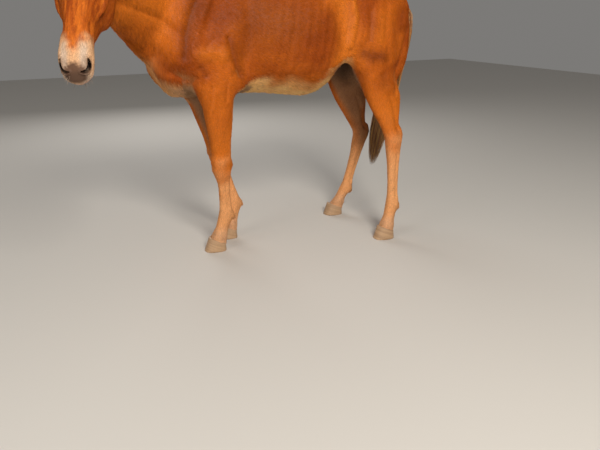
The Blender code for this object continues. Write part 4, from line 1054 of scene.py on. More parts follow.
for channel, other in (("Blue", streaks[2]), ("Green", streaks[1])):
    choose = nodes.new("ShaderNodeMix")
    links.new(split.outputs[channel], choose.inputs["Factor"])
    links.new(streak, choose.inputs["A"])
    links.new(other, choose.inputs["B"])
    streak = choose.outputs["Result"]
shade = new_node(nodes, "MapRange", From_Min=0.30, From_Max=0.70, To_Min=0.55, To_Max=1.35)
links.new(streak, shade.inputs["Value"])
flat = new_node(nodes, "Mix", B=1.0)
links.new(split.outputs["Red"], flat.inputs["Factor"])
links.new(shade.outputs["Result"], flat.inputs["A"])
tint = nodes.new("ShaderNodeVectorMath")
tint.operation = "SCALE"
links.new(marks, tint.inputs["Vector"])
links.new(flat.outputs["Result"], tint.inputs["Scale"])
links.new(tint.outputs["Vector"], surface.inputs["Base Color"])
pores = new_node(nodes, "TexNoise", Scale=420.0, Detail=4.0)
links.new(coordinates.outputs["Object"], pores.inputs["Vector"])
relief = nodes.new("ShaderNodeMix")
links.new(split.outputs["Red"], relief.inputs["Factor"])
links.new(streak, relief.inputs["A"])
links.new(pores.outputs["Fac"], relief.inputs["B"])
bump = new_node(nodes, "Bump", Strength=0.55, Distance=0.0012)
links.new(relief.outputs["Result"], bump.inputs["Height"])
links.new(bump.outputs["Normal"], surface.inputs["Normal"])
skin.data.materials.clear()
skin.data.materials.append(hide)
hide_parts(*WELDED_PARTS, *OTHER_FLESH)
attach(skin, "root")

# ---------------------------------------------------------------------------------------------------------
# The eyes. Each is a wet dark ball with a brown iris, a long dark pupil lying level, and a clear bulging
# cornea. They sit in the head behind the lids.
# ---------------------------------------------------------------------------------------------------------

WHITE_OF_EYE = (0.22, 0.13, 0.10)
IRIS = (0.022, 0.009, 0.004)
PUPIL = (0.006, 0.003, 0.002)
PUPIL_HALF_LENGTH, PUPIL_HALF_HEIGHT = 0.42, 0.22   # as shares of the ball's radius
CORNEA_BULGE = 0.0013
EYE_MERIDIANS, EYE_RINGS = 56, 36


def ball_about(middle, axes, radius):
    """A ball of rings of points about the last of three axes, with one point at each end of that axis."""
    count, last = EYE_MERIDIANS, EYE_RINGS - 2
    turns = np.tile(np.arange(count) * 2.0 * pi / count, last + 1)
    rises = np.repeat(np.arange(1, EYE_RINGS) * pi / EYE_RINGS, count)
    rings = np.column_stack([np.sin(rises) * np.cos(turns), np.sin(rises) * np.sin(turns), np.cos(rises)])
    places = np.concatenate([rings, [(0.0, 0.0, 1.0), (0.0, 0.0, -1.0)]]) @ np.array(axes) * radius
    ball = bmesh.new()
    verts = [ball.verts.new(place) for place in places + np.array(middle)]
    for own in range(count):
        after = (own + 1) % count
        ball.faces.new([verts[-2], verts[own], verts[after]])
        ball.faces.new([verts[-1], verts[last * count + after], verts[last * count + own]])
        for start in range(0, last * count, count):
            ball.faces.new([verts[start + own], verts[start + count + own],
                            verts[start + count + after], verts[start + after]])
    return ball


eye_glass, nodes, links, surface = new_material("eye", (0.010, 0.005, 0.003), 0.04)
surface.inputs["Specular IOR Level"].default_value = 0.22
surface.inputs["Coat Weight"].default_value = 0.45
surface.inputs["Coat Roughness"].default_value = 0.02
links.new(stored_colour(nodes), surface.inputs["Base Color"])
for side in SIDES:
    gaze, corner, upper = eye_axes(side)
    axes = (corner, upper, np.cross(corner, upper))
    eye = new_object("eye_ball_" + side, ball_about(eye_middle[side], axes, EYE_RADIUS))
    points = mesh_points(eye.data)
    away = (points - np.array(eye_middle[side])) / EYE_RADIUS
    facing = away @ gaze
    out = np.degrees(np.arccos(np.clip(facing, -1.0, 1.0)))
    slit = np.hypot(away @ corner / PUPIL_HALF_LENGTH, away @ upper / PUPIL_HALF_HEIGHT)
    colours = mixed(WHITE_OF_EYE, IRIS, ramp(-out, -62.0, -54.0))
    keep_colours(eye, mixed(colours, PUPIL, ramp(-slit, -1.15, -0.85) * (facing > 0.0)))
    points += gaze * (CORNEA_BULGE * ramp(-out, -50.0, -10.0))[:, None]
    put_points(eye.data, points)
    eye.data.shade_smooth()
    eye.data.materials.append(eye_glass)
    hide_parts("eye_" + side)
    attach(eye, "root")

# ---------------------------------------------------------------------------------------------------------
# The hooves. Tan horn in a slanting capsule, with faint rings parallel to the coronet and a flat sole. The
# horn grows on under the hair at the coronet.
# ---------------------------------------------------------------------------------------------------------

RING_SLOPE = 0.388      # how the rings fall towards the heels

horn, nodes, links, surface = new_material("hoof_horn", (0.42, 0.27, 0.15), 0.42)
coordinates = nodes.new("ShaderNodeTexCoord")
rings = new_node(nodes, "Mapping", Rotation=(radians(21.0), 0.0, 0.0))
drawn_out = new_node(nodes, "Mapping", Scale=(6.0, 6.0, 150.0))
grown = new_node(nodes, "TexNoise", Scale=1.0, Detail=3.0)
fibres = new_node(nodes, "Mapping", Scale=(700.0, 700.0, 40.0))
fibre = new_node(nodes, "TexNoise", Scale=1.0, Detail=2.0)
links.new(coordinates.outputs["Object"], rings.inputs["Vector"])
links.new(rings.outputs["Vector"], drawn_out.inputs["Vector"])
links.new(drawn_out.outputs["Vector"], grown.inputs["Vector"])
links.new(coordinates.outputs["Object"], fibres.inputs["Vector"])
links.new(fibres.outputs["Vector"], fibre.inputs["Vector"])
blend = new_node(nodes, "Mix", Factor=0.35)
links.new(grown.outputs["Fac"], blend.inputs["A"])
links.new(fibre.outputs["Fac"], blend.inputs["B"])
horn_colours = nodes.new("ShaderNodeValToRGB")
for element, position, colour in zip(horn_colours.color_ramp.elements, (0.30, 0.72),
                                     ((0.330, 0.195, 0.105, 1.0), (0.560, 0.360, 0.205, 1.0))):
    element.position, element.color = position, colour
links.new(blend.outputs["Result"], horn_colours.inputs["Fac"])
links.new(horn_colours.outputs["Color"], surface.inputs["Base Color"])
bump = new_node(nodes, "Bump", Strength=0.5, Distance=0.0012)
links.new(blend.outputs["Result"], bump.inputs["Height"])
links.new(bump.outputs["Normal"], surface.inputs["Normal"])
for kind in ("front", "hind"):
    for side in SIDES:
        node = kind + "_hoof_" + side
        shell = bmesh.new()
        shell.from_mesh(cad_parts[node].data)
        bmesh.ops.remove_doubles(shell, verts=shell.verts, dist=SAME_PLACE)
        shell.normal_update()
        crease = shell.edges.layers.float.new("crease_edge")
        for edge in shell.edges:
            if edge.is_manifold and edge.calc_face_angle() > radians(38.0):
                edge[crease] = 0.75
        hoof = new_object("hoof_" + kind + "_" + side, shell)
        rounded(hoof, 3)
        low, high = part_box(node)
        points, normals = mesh_points(hoof.data), mesh_normals(hoof.data)
        slant = points[:, 2] + RING_SLOPE * (points[:, 1] - (low.y + high.y) / 2.0)
        wall = ramp(points[:, 2], 0.004, 0.016) * ramp(1.0 - np.abs(normals[:, 2]), 0.2, 0.5)
        broad_rings = 0.00045 * np.sin(slant * 2.0 * pi / 0.0075)
        fine_rings = 0.0003 * np.sin(slant * 2.0 * pi / 0.0031 + 1.0)
        points += normals * ((broad_rings + fine_rings - 0.0004) * wall)[:, None]
        points[:, 2] = np.maximum(points[:, 2], 0.0)
        put_points(hoof.data, points)
        hoof.data.shade_smooth()
        hoof.data.materials.append(horn)
        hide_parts(node)
        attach(hoof, "root")

# ---------------------------------------------------------------------------------------------------------
# The coat. Short flat hair over the whole hide, in thin overlapping tufts that follow the lie of the hair.
# It is longest along the belly, the breast, the jaw and the backs of the fetlocks, and shortest on the face.
# ---------------------------------------------------------------------------------------------------------

bpy.ops.object.select_all(action="DESELECT")
skin.select_set(True)
bpy.context.view_layer.objects.active = skin
bpy.ops.object.mode_set(mode="EDIT")
bpy.ops.mesh.select_all(action="SELECT")
bpy.ops.uv.smart_project(angle_limit=radians(70.0), island_margin=0.002)
bpy.ops.object.mode_set(mode="OBJECT")

COAT_TUFTS = 330000
TUFTS_IN_A_PIECE = 48000
PATCH = 0.003                   # of the unwrap, for each tuft's own patch
# A tuft's corners are its left and right root, its tip and its ridge.
TUFT_TRIANGLES = np.array([(0, 1, 2), (0, 3, 1), (1, 3, 2), (2, 3, 0)])
TUFT_PATCH = np.array([(-0.5, 0.0), (0.5, 0.0), (0.0, 1.0), (0.0, 0.5)]) * PATCH
UNDER_SKIN = 0.0004             # how deep the tufts' roots are
STRAY_SHARE = 0.035             # of the tufts stand out from the rest
BODY_HAIR, LEG_SHORTER, HEAD_SHORTER, NOSE_SHORTER = 0.0160, 0.0065, 0.0095, 0.0022
EAR_SHORTER = 0.9               # of the length on the rest of the head


def on_skin(count, rng, weights):
    """Random places on the hide, thicker where the weight of its points is greater. Then the way the hide
    faces there, and the places on its unwrap."""
    mesh = skin.data
    corners = read_out(mesh.loops, "vertex_index", 1, np.int64).reshape(-1, 3)
    unwrap = read_out(mesh.uv_layers.active.data, "uv", 2).reshape(-1, 3, 2)
    points, normals = mesh_points(mesh), mesh_normals(mesh)
    first, second, third = points[corners.T]
    share = np.linalg.norm(np.cross(second - first, third - first), axis=1) * weights[corners].mean(axis=1)
    chosen = np.searchsorted(np.cumsum(share) / share.sum(), rng.random(count))
    chosen = np.minimum(chosen, len(corners) - 1)
    u, v = rng.random((2, count))
    folded = u + v > 1.0
    u[folded], v[folded] = 1.0 - u[folded], 1.0 - v[folded]
    weight = np.column_stack([1.0 - u - v, u, v])
    places = (points[corners[chosen]] * weight[:, :, None]).sum(axis=1)
    facing = (normals[corners[chosen]] * weight[:, :, None]).sum(axis=1)
    facing /= np.linalg.norm(facing, axis=1)[:, None]
    return places, facing, (unwrap[chosen] * weight[:, :, None]).sum(axis=1)


def turned(lie, normals, angles):
    """The lie of the hair turned about the normal."""
    return lie * np.cos(angles)[:, None] + np.cross(normals, lie) * np.sin(angles)[:, None]


def hair_piece(name, corners, index, colours, unwrap, material):
    """One piece of many closed tufts or locks. The index is of the corners of their triangles. The colours
    and the places on the unwrap are the corners' too."""
    mesh = bpy.data.meshes.new(name)
    mesh.vertices.add(corners.size // 3)
    mesh.vertices.foreach_set("co", corners.ravel())
    mesh.loops.add(len(index))
    mesh.loops.foreach_set("vertex_index", index.astype(np.int32))
    mesh.polygons.add(len(index) // 3)
    mesh.polygons.foreach_set("loop_start", np.arange(0, len(index), 3, dtype=np.int32))
    mesh.update()
    piece = bpy.data.objects.new(name, mesh)
    bpy.context.collection.objects.link(piece)
    keep_colours(piece, colours)
    layer = mesh.uv_layers.new(name="OFBake")
    layer.data.foreach_set("uv", unwrap[index].ravel())
    mesh.shade_smooth()
    mesh.materials.append(material)
    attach(piece, "root")
    return piece


normal_rng = np.random.default_rng(77)


def add_tufts(name, roots, normals, lies, lengths, widths, lifts, colours, unwrap, material):
    """One piece of flat closed tufts, each with a broad root, a ridge along it and a fine tip."""
    across = np.cross(normals, lies)
    half = across * (widths / 2.0)[:, None]
    tips = roots + lies * lengths[:, None] + normals * lifts[:, None]
    sunk = roots - normals * UNDER_SKIN
    ridge = roots + lies * (lengths * 0.40)[:, None] + normals * (lifts * 0.62 + widths * 0.22)[:, None]
    corners = np.stack([sunk - half, sunk + half, tips, ridge], axis=1).reshape(-1, 3)
    index = (np.arange(len(roots))[:, None, None] * 4 + TUFT_TRIANGLES[None]).ravel()
    root_colours, tip_colours = colours * 0.90, np.clip(colours * 1.08, 0.0, 1.0)
    colours = np.stack([root_colours, root_colours, tip_colours, colours], axis=1).reshape(-1, 3)
    patches = (unwrap[:, None, :] + TUFT_PATCH[None]).reshape(-1, 2)
    piece = hair_piece(name, corners, index, colours, patches, material)
    # The tufts take the light as the hide does, each a little turned.
    lean = np.stack([-across * 0.26, across * 0.26, lies * 0.08, across * 0.0], axis=1).reshape(-1, 3)
    own_turn = normal_rng.normal(size=(len(roots), 3)) * 0.085
    soft = np.repeat(normals, 4, axis=0) + lean + np.repeat(own_turn, 4, axis=0)
    soft /= np.linalg.norm(soft, axis=1)[:, None]
    piece.data.normals_split_custom_set_from_vertices(soft)


fur, nodes, links, surface = new_material("fur", CHESTNUT, 0.56)
surface.inputs["Specular IOR Level"].default_value = 0.13
surface.inputs["Specular Tint"].default_value = (1.0, 0.66, 0.40, 1.0)
links.new(stored_colour(nodes), surface.inputs["Base Color"])

# The hair is thickest on the head, and there is hardly any on the bare parts and over the horn.
points = mesh_points(skin.data)
rng = np.random.default_rng(3)
weights = (1.0 + 1.9 * head_share(points) + 0.9 * leg_share(points)) * (1.0 - 0.985 * bare_share(points))
weights *= np.where(points[:, 2] < 0.060, 0.25, 1.0)
roots, facing, unwrap = on_skin(COAT_TUFTS, rng, weights)
head, legs, ears = head_share(roots), leg_share(roots), ear_share(roots)
place, on_leg, level = head_place(roots), leg_place(roots)[1], roots[:, 2]
lengths = BODY_HAIR - LEG_SHORTER * legs - HEAD_SHORTER * head
lengths -= NOSE_SHORTER * head * ramp(place[:, 0], 0.40, 0.52)
longer = 0.85 * ramp(-facing[:, 2], 0.35, 0.80) * (1.0 - head) * (1.0 - legs)                # belly, breast
longer += 1.1 * bell(place[:, 1] - 0.235, 0.035) * head * ramp(-place[:, 0], -0.42, -0.30)   # jaw
longer += 1.0 * on_leg * bell(level - 0.150, 0.045) * ramp(facing[:, 1], 0.2, 0.8)           # fetlocks
longer += 0.7 * on_leg * bell(level - 0.080, 0.022)                                          # over the horn
stray = rng.random(len(roots)) < STRAY_SHARE
lengths = lengths * (1.0 + longer) * rng.uniform(0.70, 1.25, len(roots))
lifts = lengths * (0.034 + 0.060 * np.minimum(longer, 1.0) + 0.13 * stray * (1.0 - head))
widths = lengths * rng.uniform(0.105, 0.165, len(roots))
widths = widths * (1.0 - 0.22 * ramp(-level, -0.30, -0.20)) + 0.0004
lengths[ears > 0.5] *= EAR_SHORTER
lies = turned(hair_lie(roots, facing), facing, rng.normal(size=len(roots)) * 0.20)
colours = coat_colours(roots, facing)
# Neighbouring tufts cling together in lighter and darker clumps, and each differs a little.
along_hair = np.column_stack([roots @ np.array(HEAD_LEFT), roots[:, 1] * 0.4, level * 0.4])
shade = np.clip(1.0 + 0.10 * drift(along_hair, 0.012, 41) + 0.105 * rng.normal(size=len(roots)), 0.62, 1.45)
colours = colours * shade[:, None]
colours[:, 2] *= rng.uniform(0.85, 1.15, len(roots))
# Pieces run from the head to the tail, so that each is one stretch of the body.
order = np.argsort(roots[:, 1] + 0.4 * (roots[:, 2] < 0.7))
for number, first in enumerate(range(0, len(order), TUFTS_IN_A_PIECE)):
    own = order[first:first + TUFTS_IN_A_PIECE]
    add_tufts("coat_%d" % (number + 1), roots[own], facing[own], lies[own], lengths[own], widths[own],
              lifts[own], np.clip(colours[own], 0.0, 1.0), unwrap[own], fur)

# ---------------------------------------------------------------------------------------------------------
# The tail. Hundreds of coarse locks hang from both sides and the end of the dock round a dense dark core,
# with sun-bleached flaxen hair outside. Each lock is a thin closed blade that waves a little and ends in a
# point.
# ---------------------------------------------------------------------------------------------------------

TAIL_ROOM = 0.96                # how much of the tail's outline the locks fill
CHESTNUT_HAIR = (0.360, 0.085, 0.016)
FLAXEN = (0.660, 0.385, 0.120)
BROWN_HAIR = (0.240, 0.100, 0.034)
DARK_HAIR = (0.060, 0.026, 0.012)
TAN_LOCK = (0.660, 0.370, 0.140)

hair, nodes, links, surface = new_material("hair", CHESTNUT_HAIR, 0.42)
links.new(stored_colour(nodes), surface.inputs["Base Color"])
skin_surface = BVHTree.FromPolygons([vert.co for vert in skin.data.vertices],
                                    [polygon.vertices for polygon in skin.data.polygons])


def skin_unwrap_at(places):
    """Where on the hide's unwrap the nearest point of the hide is."""
    mesh = skin.data
    unwrap = mesh.uv_layers.active.data
    indices = [skin_surface.find_nearest(Vector(place))[2] for place in places]
    return np.array([unwrap[mesh.polygons[index].loop_start].uv for index in indices])


def rooted(places):
    """The nearest places on the hide, a little under it, and the way the hide faces there."""
    found = [skin_surface.find_nearest(Vector(place))[:2] for place in places]
    return (np.array([nearest - normal * 0.001 for nearest, normal in found]),
            np.array([normal for nearest, normal in found]))


LOCK_THICKNESS = 0.45           # as a share of its width
LOCK_TAPER = 0.75               # how much of its width a lock loses on its way, before the point
LOCK_POINT = 0.00012            # the width of its point


def add_locks(name, paths, widths, outward, root_colours, tip_colours):
    """One piece of closed three-sided blades along the paths, which narrow to a point."""
    count, steps = paths.shape[:2]
    along = np.gradient(paths, axis=1)
    along /= np.linalg.norm(along, axis=2)[:, :, None]
    outward = np.broadcast_to(outward, paths.shape)
    out = outward - along * (outward * along).sum(axis=2)[:, :, None]
    out /= np.maximum(np.linalg.norm(out, axis=2), 1e-6)[:, :, None]
    side = np.cross(along, out)
    share = np.linspace(0.0, 1.0, steps)
    narrowed = 1.0 - share[None] ** 2 * LOCK_TAPER - (1.0 - LOCK_TAPER) * share[None] ** 8
    width = (widths[:, None] * narrowed + LOCK_POINT)[:, :, None]
    rings = np.stack([paths - side * width / 2.0, paths + side * width / 2.0,
                      paths + out * width * LOCK_THICKNESS], axis=2)
    triangles = [(0, 1, 2), (3 * steps - 3, 3 * steps - 1, 3 * steps - 2)]
    for step in range(steps - 1):
        for corner in range(3):
            a, b = 3 * step + corner, 3 * step + (corner + 1) % 3
            triangles += [(a, a + 3, b), (b, a + 3, b + 3)]
    index = (np.arange(count)[:, None, None] * steps * 3 + np.array(triangles)[None]).ravel()
    blend = share[None, :, None]
    colours = root_colours[:, None] * (1.0 - blend) + tip_colours[:, None] * blend
    patch = np.stack(np.broadcast_arrays([[-0.5, 0.5, 0.0]], share[:, None]), axis=2) * PATCH
    patches = (skin_unwrap_at(paths[:, 0])[:, None, None, :] + patch[None]).reshape(-1, 2)
    hair_piece(name, rings, index, np.repeat(colours.reshape(-1, 3), 3, axis=0), patches, hair)


def clear_of_skin(paths, rng, least, most):
    """Lifts the points of the paths that lie under the hide, or closer to it than wanted, out of it."""
    for path in paths:
        wanted = rng.uniform(least, most)
        for step in range(1, len(path)):
            nearest, normal = skin_surface.find_nearest(Vector(path[step]))[:2]
            height = (Vector(path[step]) - nearest).dot(normal)
            needed = wanted * min(1.0, step / 3.0)
            if height < needed:
                path[step] = nearest + normal * needed
    return paths


def varied(colours, amount, rng):
    """Each lock a little lighter or darker than the next."""
    return np.clip(colours * (1.0 + amount * rng.normal(size=(len(colours), 1))), 0.0, 1.0)


# The tail's outline: height, middle across and back, half width and half depth.
TAIL_LINE = np.array([(1.215, 0.000, 0.700, 0.020, 0.012), (1.140, 0.000, 0.712, 0.036, 0.025),
                      (1.060, -0.003, 0.709, 0.047, 0.031), (0.960, -0.013, 0.702, 0.054, 0.033),
                      (0.840, -0.029, 0.686, 0.060, 0.035), (0.720, -0.049, 0.674, 0.070, 0.039),
                      (0.600, -0.073, 0.664, 0.072, 0.042), (0.490, -0.097, 0.660, 0.064, 0.042),
                      (0.390, -0.119, 0.656, 0.049, 0.034), (0.320, -0.133, 0.654, 0.032, 0.023),
                      (0.275, -0.139, 0.652, 0.012, 0.010)])[::-1]
DOCK_X, DOCK_TOP = -0.1933, 1.245
TAIL_LINE[:, 1] += DOCK_X + np.interp(TAIL_LINE[:, 0], [0.50, 0.85, 1.10], [-0.024, -0.010, 0.008])
TAIL_LINE[:, 2] += 0.1925 + np.interp(TAIL_LINE[:, 0], [0.50, 0.85, 1.10], [0.0, 0.004, 0.008])
DOCK_LINE = np.array([(1.262, 0.7625), (1.236, 0.8325), (1.194, 0.8745), (1.146, 0.8905), (1.092, 0.8915),
                      (1.034, 0.8895), (0.985, 0.8875)])[::-1]


def tail_paths(count, rng, spread_low, spread_high, ends_low, ends_high, starts_low=1.00, steps=13):
    """Locks that leave the dock at their own height and fill a ring of the tail's outline."""
    starts = rng.uniform(starts_low, DOCK_TOP, count)
    ends = ends_low + (ends_high - ends_low) * rng.random(count) ** 1.6
    spread = rng.uniform(spread_low, spread_high, count)
    angle = rng.uniform(0.0, 2.0 * pi, count)
    wave, phase = rng.uniform(0.10, 0.22, count), rng.uniform(0.0, 2.0 * pi, count)
    twist = rng.normal(size=(count, 2))[:, 0]
    paths, outward = np.empty((count, steps, 3)), np.empty((count, steps, 3))
    for step in range(steps):
        share = step / (steps - 1)
        height = starts + (ends - starts) * share
        fallen = starts - height
        spread_here = spread * (1.0 + 0.10 * np.sin(fallen / wave + phase))
        turn = angle + 0.22 * np.sin(fallen / (wave * 1.7) + phase) + 0.25 * twist * share
        line = [np.interp(height, TAIL_LINE[:, 0], TAIL_LINE[:, k]) for k in range(1, 5)]
        hanging = np.column_stack([line[0] + np.cos(turn) * spread_here * line[2] * TAIL_ROOM,
                                   line[1] + np.sin(turn) * spread_here * line[3] * TAIL_ROOM, height])
        dock_y = np.interp(height, DOCK_LINE[:, 0], DOCK_LINE[:, 1])
        at_dock = np.column_stack([DOCK_X + np.cos(angle) * 0.014, dock_y + np.sin(angle) * 0.010, height])
        let_go = ramp(fallen, 0.0, 0.10)[:, None]
        paths[:, step] = at_dock + (hanging - at_dock) * let_go
        outward[:, step] = np.column_stack([np.cos(turn), np.sin(turn), np.zeros(count)])
    return paths, outward


CORE_LOCKS, OUTER_LOCKS, COVER_LOCKS = 500, 1150, 380
rng = np.random.default_rng(21)
core, core_out = tail_paths(CORE_LOCKS, rng, 0.0, 0.70, 0.30, 0.70)
outer, outer_out = tail_paths(OUTER_LOCKS, rng, 0.62, 0.98, 0.285, 0.85)
cover, cover_out = tail_paths(COVER_LOCKS, rng, 0.45, 0.92, 0.92, 1.10, 1.14)
paths, outward = np.concatenate([core, outer, cover]), np.concatenate([core_out, outer_out, cover_out])
paths = clear_of_skin(paths, rng, 0.001, 0.004)
count = len(paths)
outside = 1.0 * (np.arange(count) >= CORE_LOCKS)
short = np.arange(count) >= CORE_LOCKS + OUTER_LOCKS
bleached = outside * rng.uniform(0.0, 1.0, count) ** 2.2
lower_colours = mixed(DARK_HAIR, BROWN_HAIR, 0.9 * rng.random(count))
lower_colours = mixed(lower_colours, CHESTNUT_HAIR, 1.0 * short)
tip_colours = varied(mixed(lower_colours, FLAXEN, bleached), 0.18, rng)
root_colours = mixed(CHESTNUT_HAIR, FLAXEN, 0.55 * outside * rng.random(count))
root_colours = varied(mixed(root_colours, DARK_HAIR, 0.35 * (1.0 - outside)), 0.18, rng)
widths = rng.uniform(0.0030, 0.0060, count) * (1.0 - 0.45 * short)
add_locks("tail_locks", paths, widths, outward, root_colours, tip_colours)
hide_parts("tail_hair")

# ---------------------------------------------------------------------------------------------------------
# The mane. A short sparse mane of coarse reddish hair grows from the crest of the neck and stands half up,
# leaning to the mule's right.
# ---------------------------------------------------------------------------------------------------------

MANE_LINE = np.array([(0.015, -0.455, 1.408), (0.035, -0.490, 1.417), (0.085, -0.578, 1.434),
                      (0.146, -0.656, 1.452), (0.204, -0.738, 1.470), (0.252, -0.818, 1.478)])
MANE_LINE += (-0.2303, 0.1925, 0.0)
MANE_LENGTHS = [0.012, 0.022, 0.040, 0.052, 0.056, 0.052]
MANE_LOCKS, MANE_CLUMPS = 1500, 85


def placed_along(line, shares):
    """Places on a bent line, by their shares of its length."""
    line = np.array(line)
    lengths = np.concatenate([[0.0], np.cumsum(np.linalg.norm(line[1:] - line[:-1], axis=1))])
    return np.column_stack([np.interp(shares * lengths[-1], lengths, line[:, k]) for k in range(3)])


def bent_paths(roots, ways, ends, lengths, steps, rng, curl=0.05):
    """Locks that leave the root one way and bend over to another."""
    share = np.linspace(0.0, 1.0, steps)[None, :, None]
    way = ways[:, None] * (1.0 - share) + ends[:, None] * share
    paths = roots[:, None] + np.cumsum(way, axis=1) * (lengths / steps)[:, None, None]
    paths = np.concatenate([roots[:, None], paths[:, :-1]], axis=1)
    sway = rng.normal(size=(len(roots), 1, 3)) * np.sin(share * pi * 1.6) * curl
    return paths + sway * lengths[:, None, None]


rng = np.random.default_rng(22)
count = MANE_LOCKS
shares = rng.random(count)
crest = placed_along(MANE_LINE, shares)
crest += rng.normal(size=(count, 3)) * (0.0050, 0.0050, 0.0)
roots = rooted(crest)[0]
# Neighbouring strands cling together in clumps that lean one way.
clump = (shares * MANE_CLUMPS + rng.normal(size=count) * 0.9).astype(int) % MANE_CLUMPS
clump_way = rng.normal(size=(MANE_CLUMPS, 3))[clump]
up_way = np.array((-0.30, -0.10, 0.95)) + clump_way * 0.20 + rng.normal(size=(count, 3)) * 0.09
lean_way = np.array((-0.85, -0.25, 0.10)) + clump_way * 0.34 + rng.normal(size=(count, 3)) * 0.13
lengths = np.interp(shares, np.linspace(0.0, 1.0, len(MANE_LENGTHS)), MANE_LENGTHS)
lengths *= rng.uniform(0.60, 1.15, count) * (1.0 + 0.18 * clump_way[:, 0])
paths = clear_of_skin(bent_paths(roots, up_way, lean_way, lengths, 6, rng, 0.10), rng, 0.001, 0.006)
reds = mixed(CHESTNUT_HAIR, DARK_HAIR, 0.6 * rng.random(count) ** 2)
add_locks("mane_locks", paths, rng.uniform(0.0011, 0.0026, count), (0.5, 0.0, 0.8), varied(reds, 0.2, rng),
          varied(mixed(reds, BRIGHT, rng.random(count) * 0.6), 0.2, rng))
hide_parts("mane")

# ---------------------------------------------------------------------------------------------------------
# The forelock. Messy reddish hair falls down the forehead from between the ears, short wisps stand up at
# the poll, and one long light lock hangs over the right side of the head past the eye.
# ---------------------------------------------------------------------------------------------------------

# Lines on the head as distances down, behind and out.
FORELOCK_LINE = [(-0.034, 0.032, 0.0), (-0.012, 0.012, -0.001), (0.030, -0.002, -0.005),
                 (0.080, -0.008, -0.014), (0.130, -0.006, -0.024), (0.175, 0.000, -0.032),
                 (0.215, 0.006, -0.036)]
LONG_LOCK_LINE = [(-0.030, 0.030, -0.006), (-0.004, -0.004, -0.030), (0.030, 0.010, -0.066),
                  (0.070, 0.040, -0.096), (0.120, 0.070, -0.112), (0.180, 0.092, -0.114),
                  (0.250, 0.105, -0.104)]
THIN_LOCK_LINE = [(0.000, -0.002, -0.026), (0.040, 0.004, -0.062), (0.090, 0.020, -0.084),
                  (0.130, 0.052, -0.100), (0.180, 0.086, -0.104), (0.230, 0.080, -0.100),
                  (0.285, 0.070, -0.094)]
FORELOCK_LOCKS, LONG_LOCKS, THIN_LOCKS, POLL_WISPS = 460, 130, 34, 170


def down_the_face(line, count, steps, spread_top, spread_low, shortest, rng, stray=0.0):
    """Locks along a line on the head, each starting and ending at its own place and straying from it."""
    paths = np.empty((count, steps, 3))
    starts, ends = rng.uniform(0.0, 0.16, count), rng.uniform(shortest, 1.0, count)
    out, off = rng.normal(size=count), rng.uniform(0.0, 1.0, count)
    wave, phase = rng.uniform(0.020, 0.045, count), rng.uniform(0.0, 2.0 * pi, count)
    crossing = rng.normal(size=count) * stray
    for step in range(steps):
        share = starts + (ends - starts) * step / (steps - 1)
        place = placed_along(line, share)
        spread = spread_top + (spread_low - spread_top) * share
        place[:, 2] += out * spread + 0.0034 * np.sin(share * 0.25 / wave + phase) + crossing * share**2
        place[:, 1] += 0.006 - off * 0.013 * (0.4 + share)
        paths[:, step] = [on_head(*row) for row in place]
    return paths


rng = np.random.default_rng(23)
falling = down_the_face(FORELOCK_LINE, FORELOCK_LOCKS, 10, 0.012, 0.017, 0.35, rng, 0.020)
falling = clear_of_skin(falling, rng, 0.002, 0.010)
count = len(falling)
reds = mixed(CHESTNUT_HAIR, BRIGHT, rng.random(count) * 0.7)
reds = mixed(reds, DARK_HAIR, 0.5 * rng.random(count) ** 3)
add_locks("forelock_locks", falling, rng.uniform(0.0012, 0.0026, count), FACE_OUT, varied(reds, 0.2, rng),
          varied(mixed(reds, BRIGHT, rng.random(count) * 0.7), 0.2, rng))
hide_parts("forelock")

long_lock = np.concatenate([down_the_face(LONG_LOCK_LINE, LONG_LOCKS, 12, 0.007, 0.0085, 0.55, rng),
                            down_the_face(THIN_LOCK_LINE, THIN_LOCKS, 12, 0.004, 0.0030, 0.80, rng)])
long_lock = clear_of_skin(long_lock, rng, 0.002, 0.012)
count = len(long_lock)
tans = mixed(TAN_LOCK, CHESTNUT_HAIR, 0.5 * rng.random(count) ** 2)
add_locks("long_lock", long_lock, rng.uniform(0.0014, 0.0026, count), FACE_OUT * 0.6 - HEAD_LEFT,
          varied(mixed(tans, CHESTNUT_HAIR, np.full(count, 0.5)), 0.15, rng), varied(tans, 0.15, rng))

count = POLL_WISPS
roots = rooted([on_head(rng.uniform(-0.035, -0.005), 0.035 + rng.normal() * 0.012, rng.normal() * 0.014)
                for _ in range(count)])[0]
ways = np.array(-FACE_DOWN * 0.85 + FACE_OUT * 0.55) + rng.normal(size=(count, 3)) * 0.30
ends = np.array(FACE_OUT * 0.7 - FACE_DOWN * 0.2 - HEAD_LEFT * 0.2) + rng.normal(size=(count, 3)) * 0.45
wisps = bent_paths(roots, ways, ends, rng.uniform(0.030, 0.080, count), 7, rng, 0.08)
reds = mixed(CHESTNUT_HAIR, BRIGHT, rng.random(count) * 0.8)
add_locks("poll_wisps", wisps, rng.uniform(0.0009, 0.0018, count), FACE_OUT, varied(reds, 0.2, rng),
          varied(mixed(reds, TAN_LOCK, rng.random(count) * 0.5), 0.2, rng))

# ---------------------------------------------------------------------------------------------------------
# The hair in the ears. Soft reddish hair grows from the inside walls and crosses the opening near the root.
# ---------------------------------------------------------------------------------------------------------

EAR_HOLLOW = 0.034              # how far up from its root the ear's inside begins
EAR_HAIRS = 520

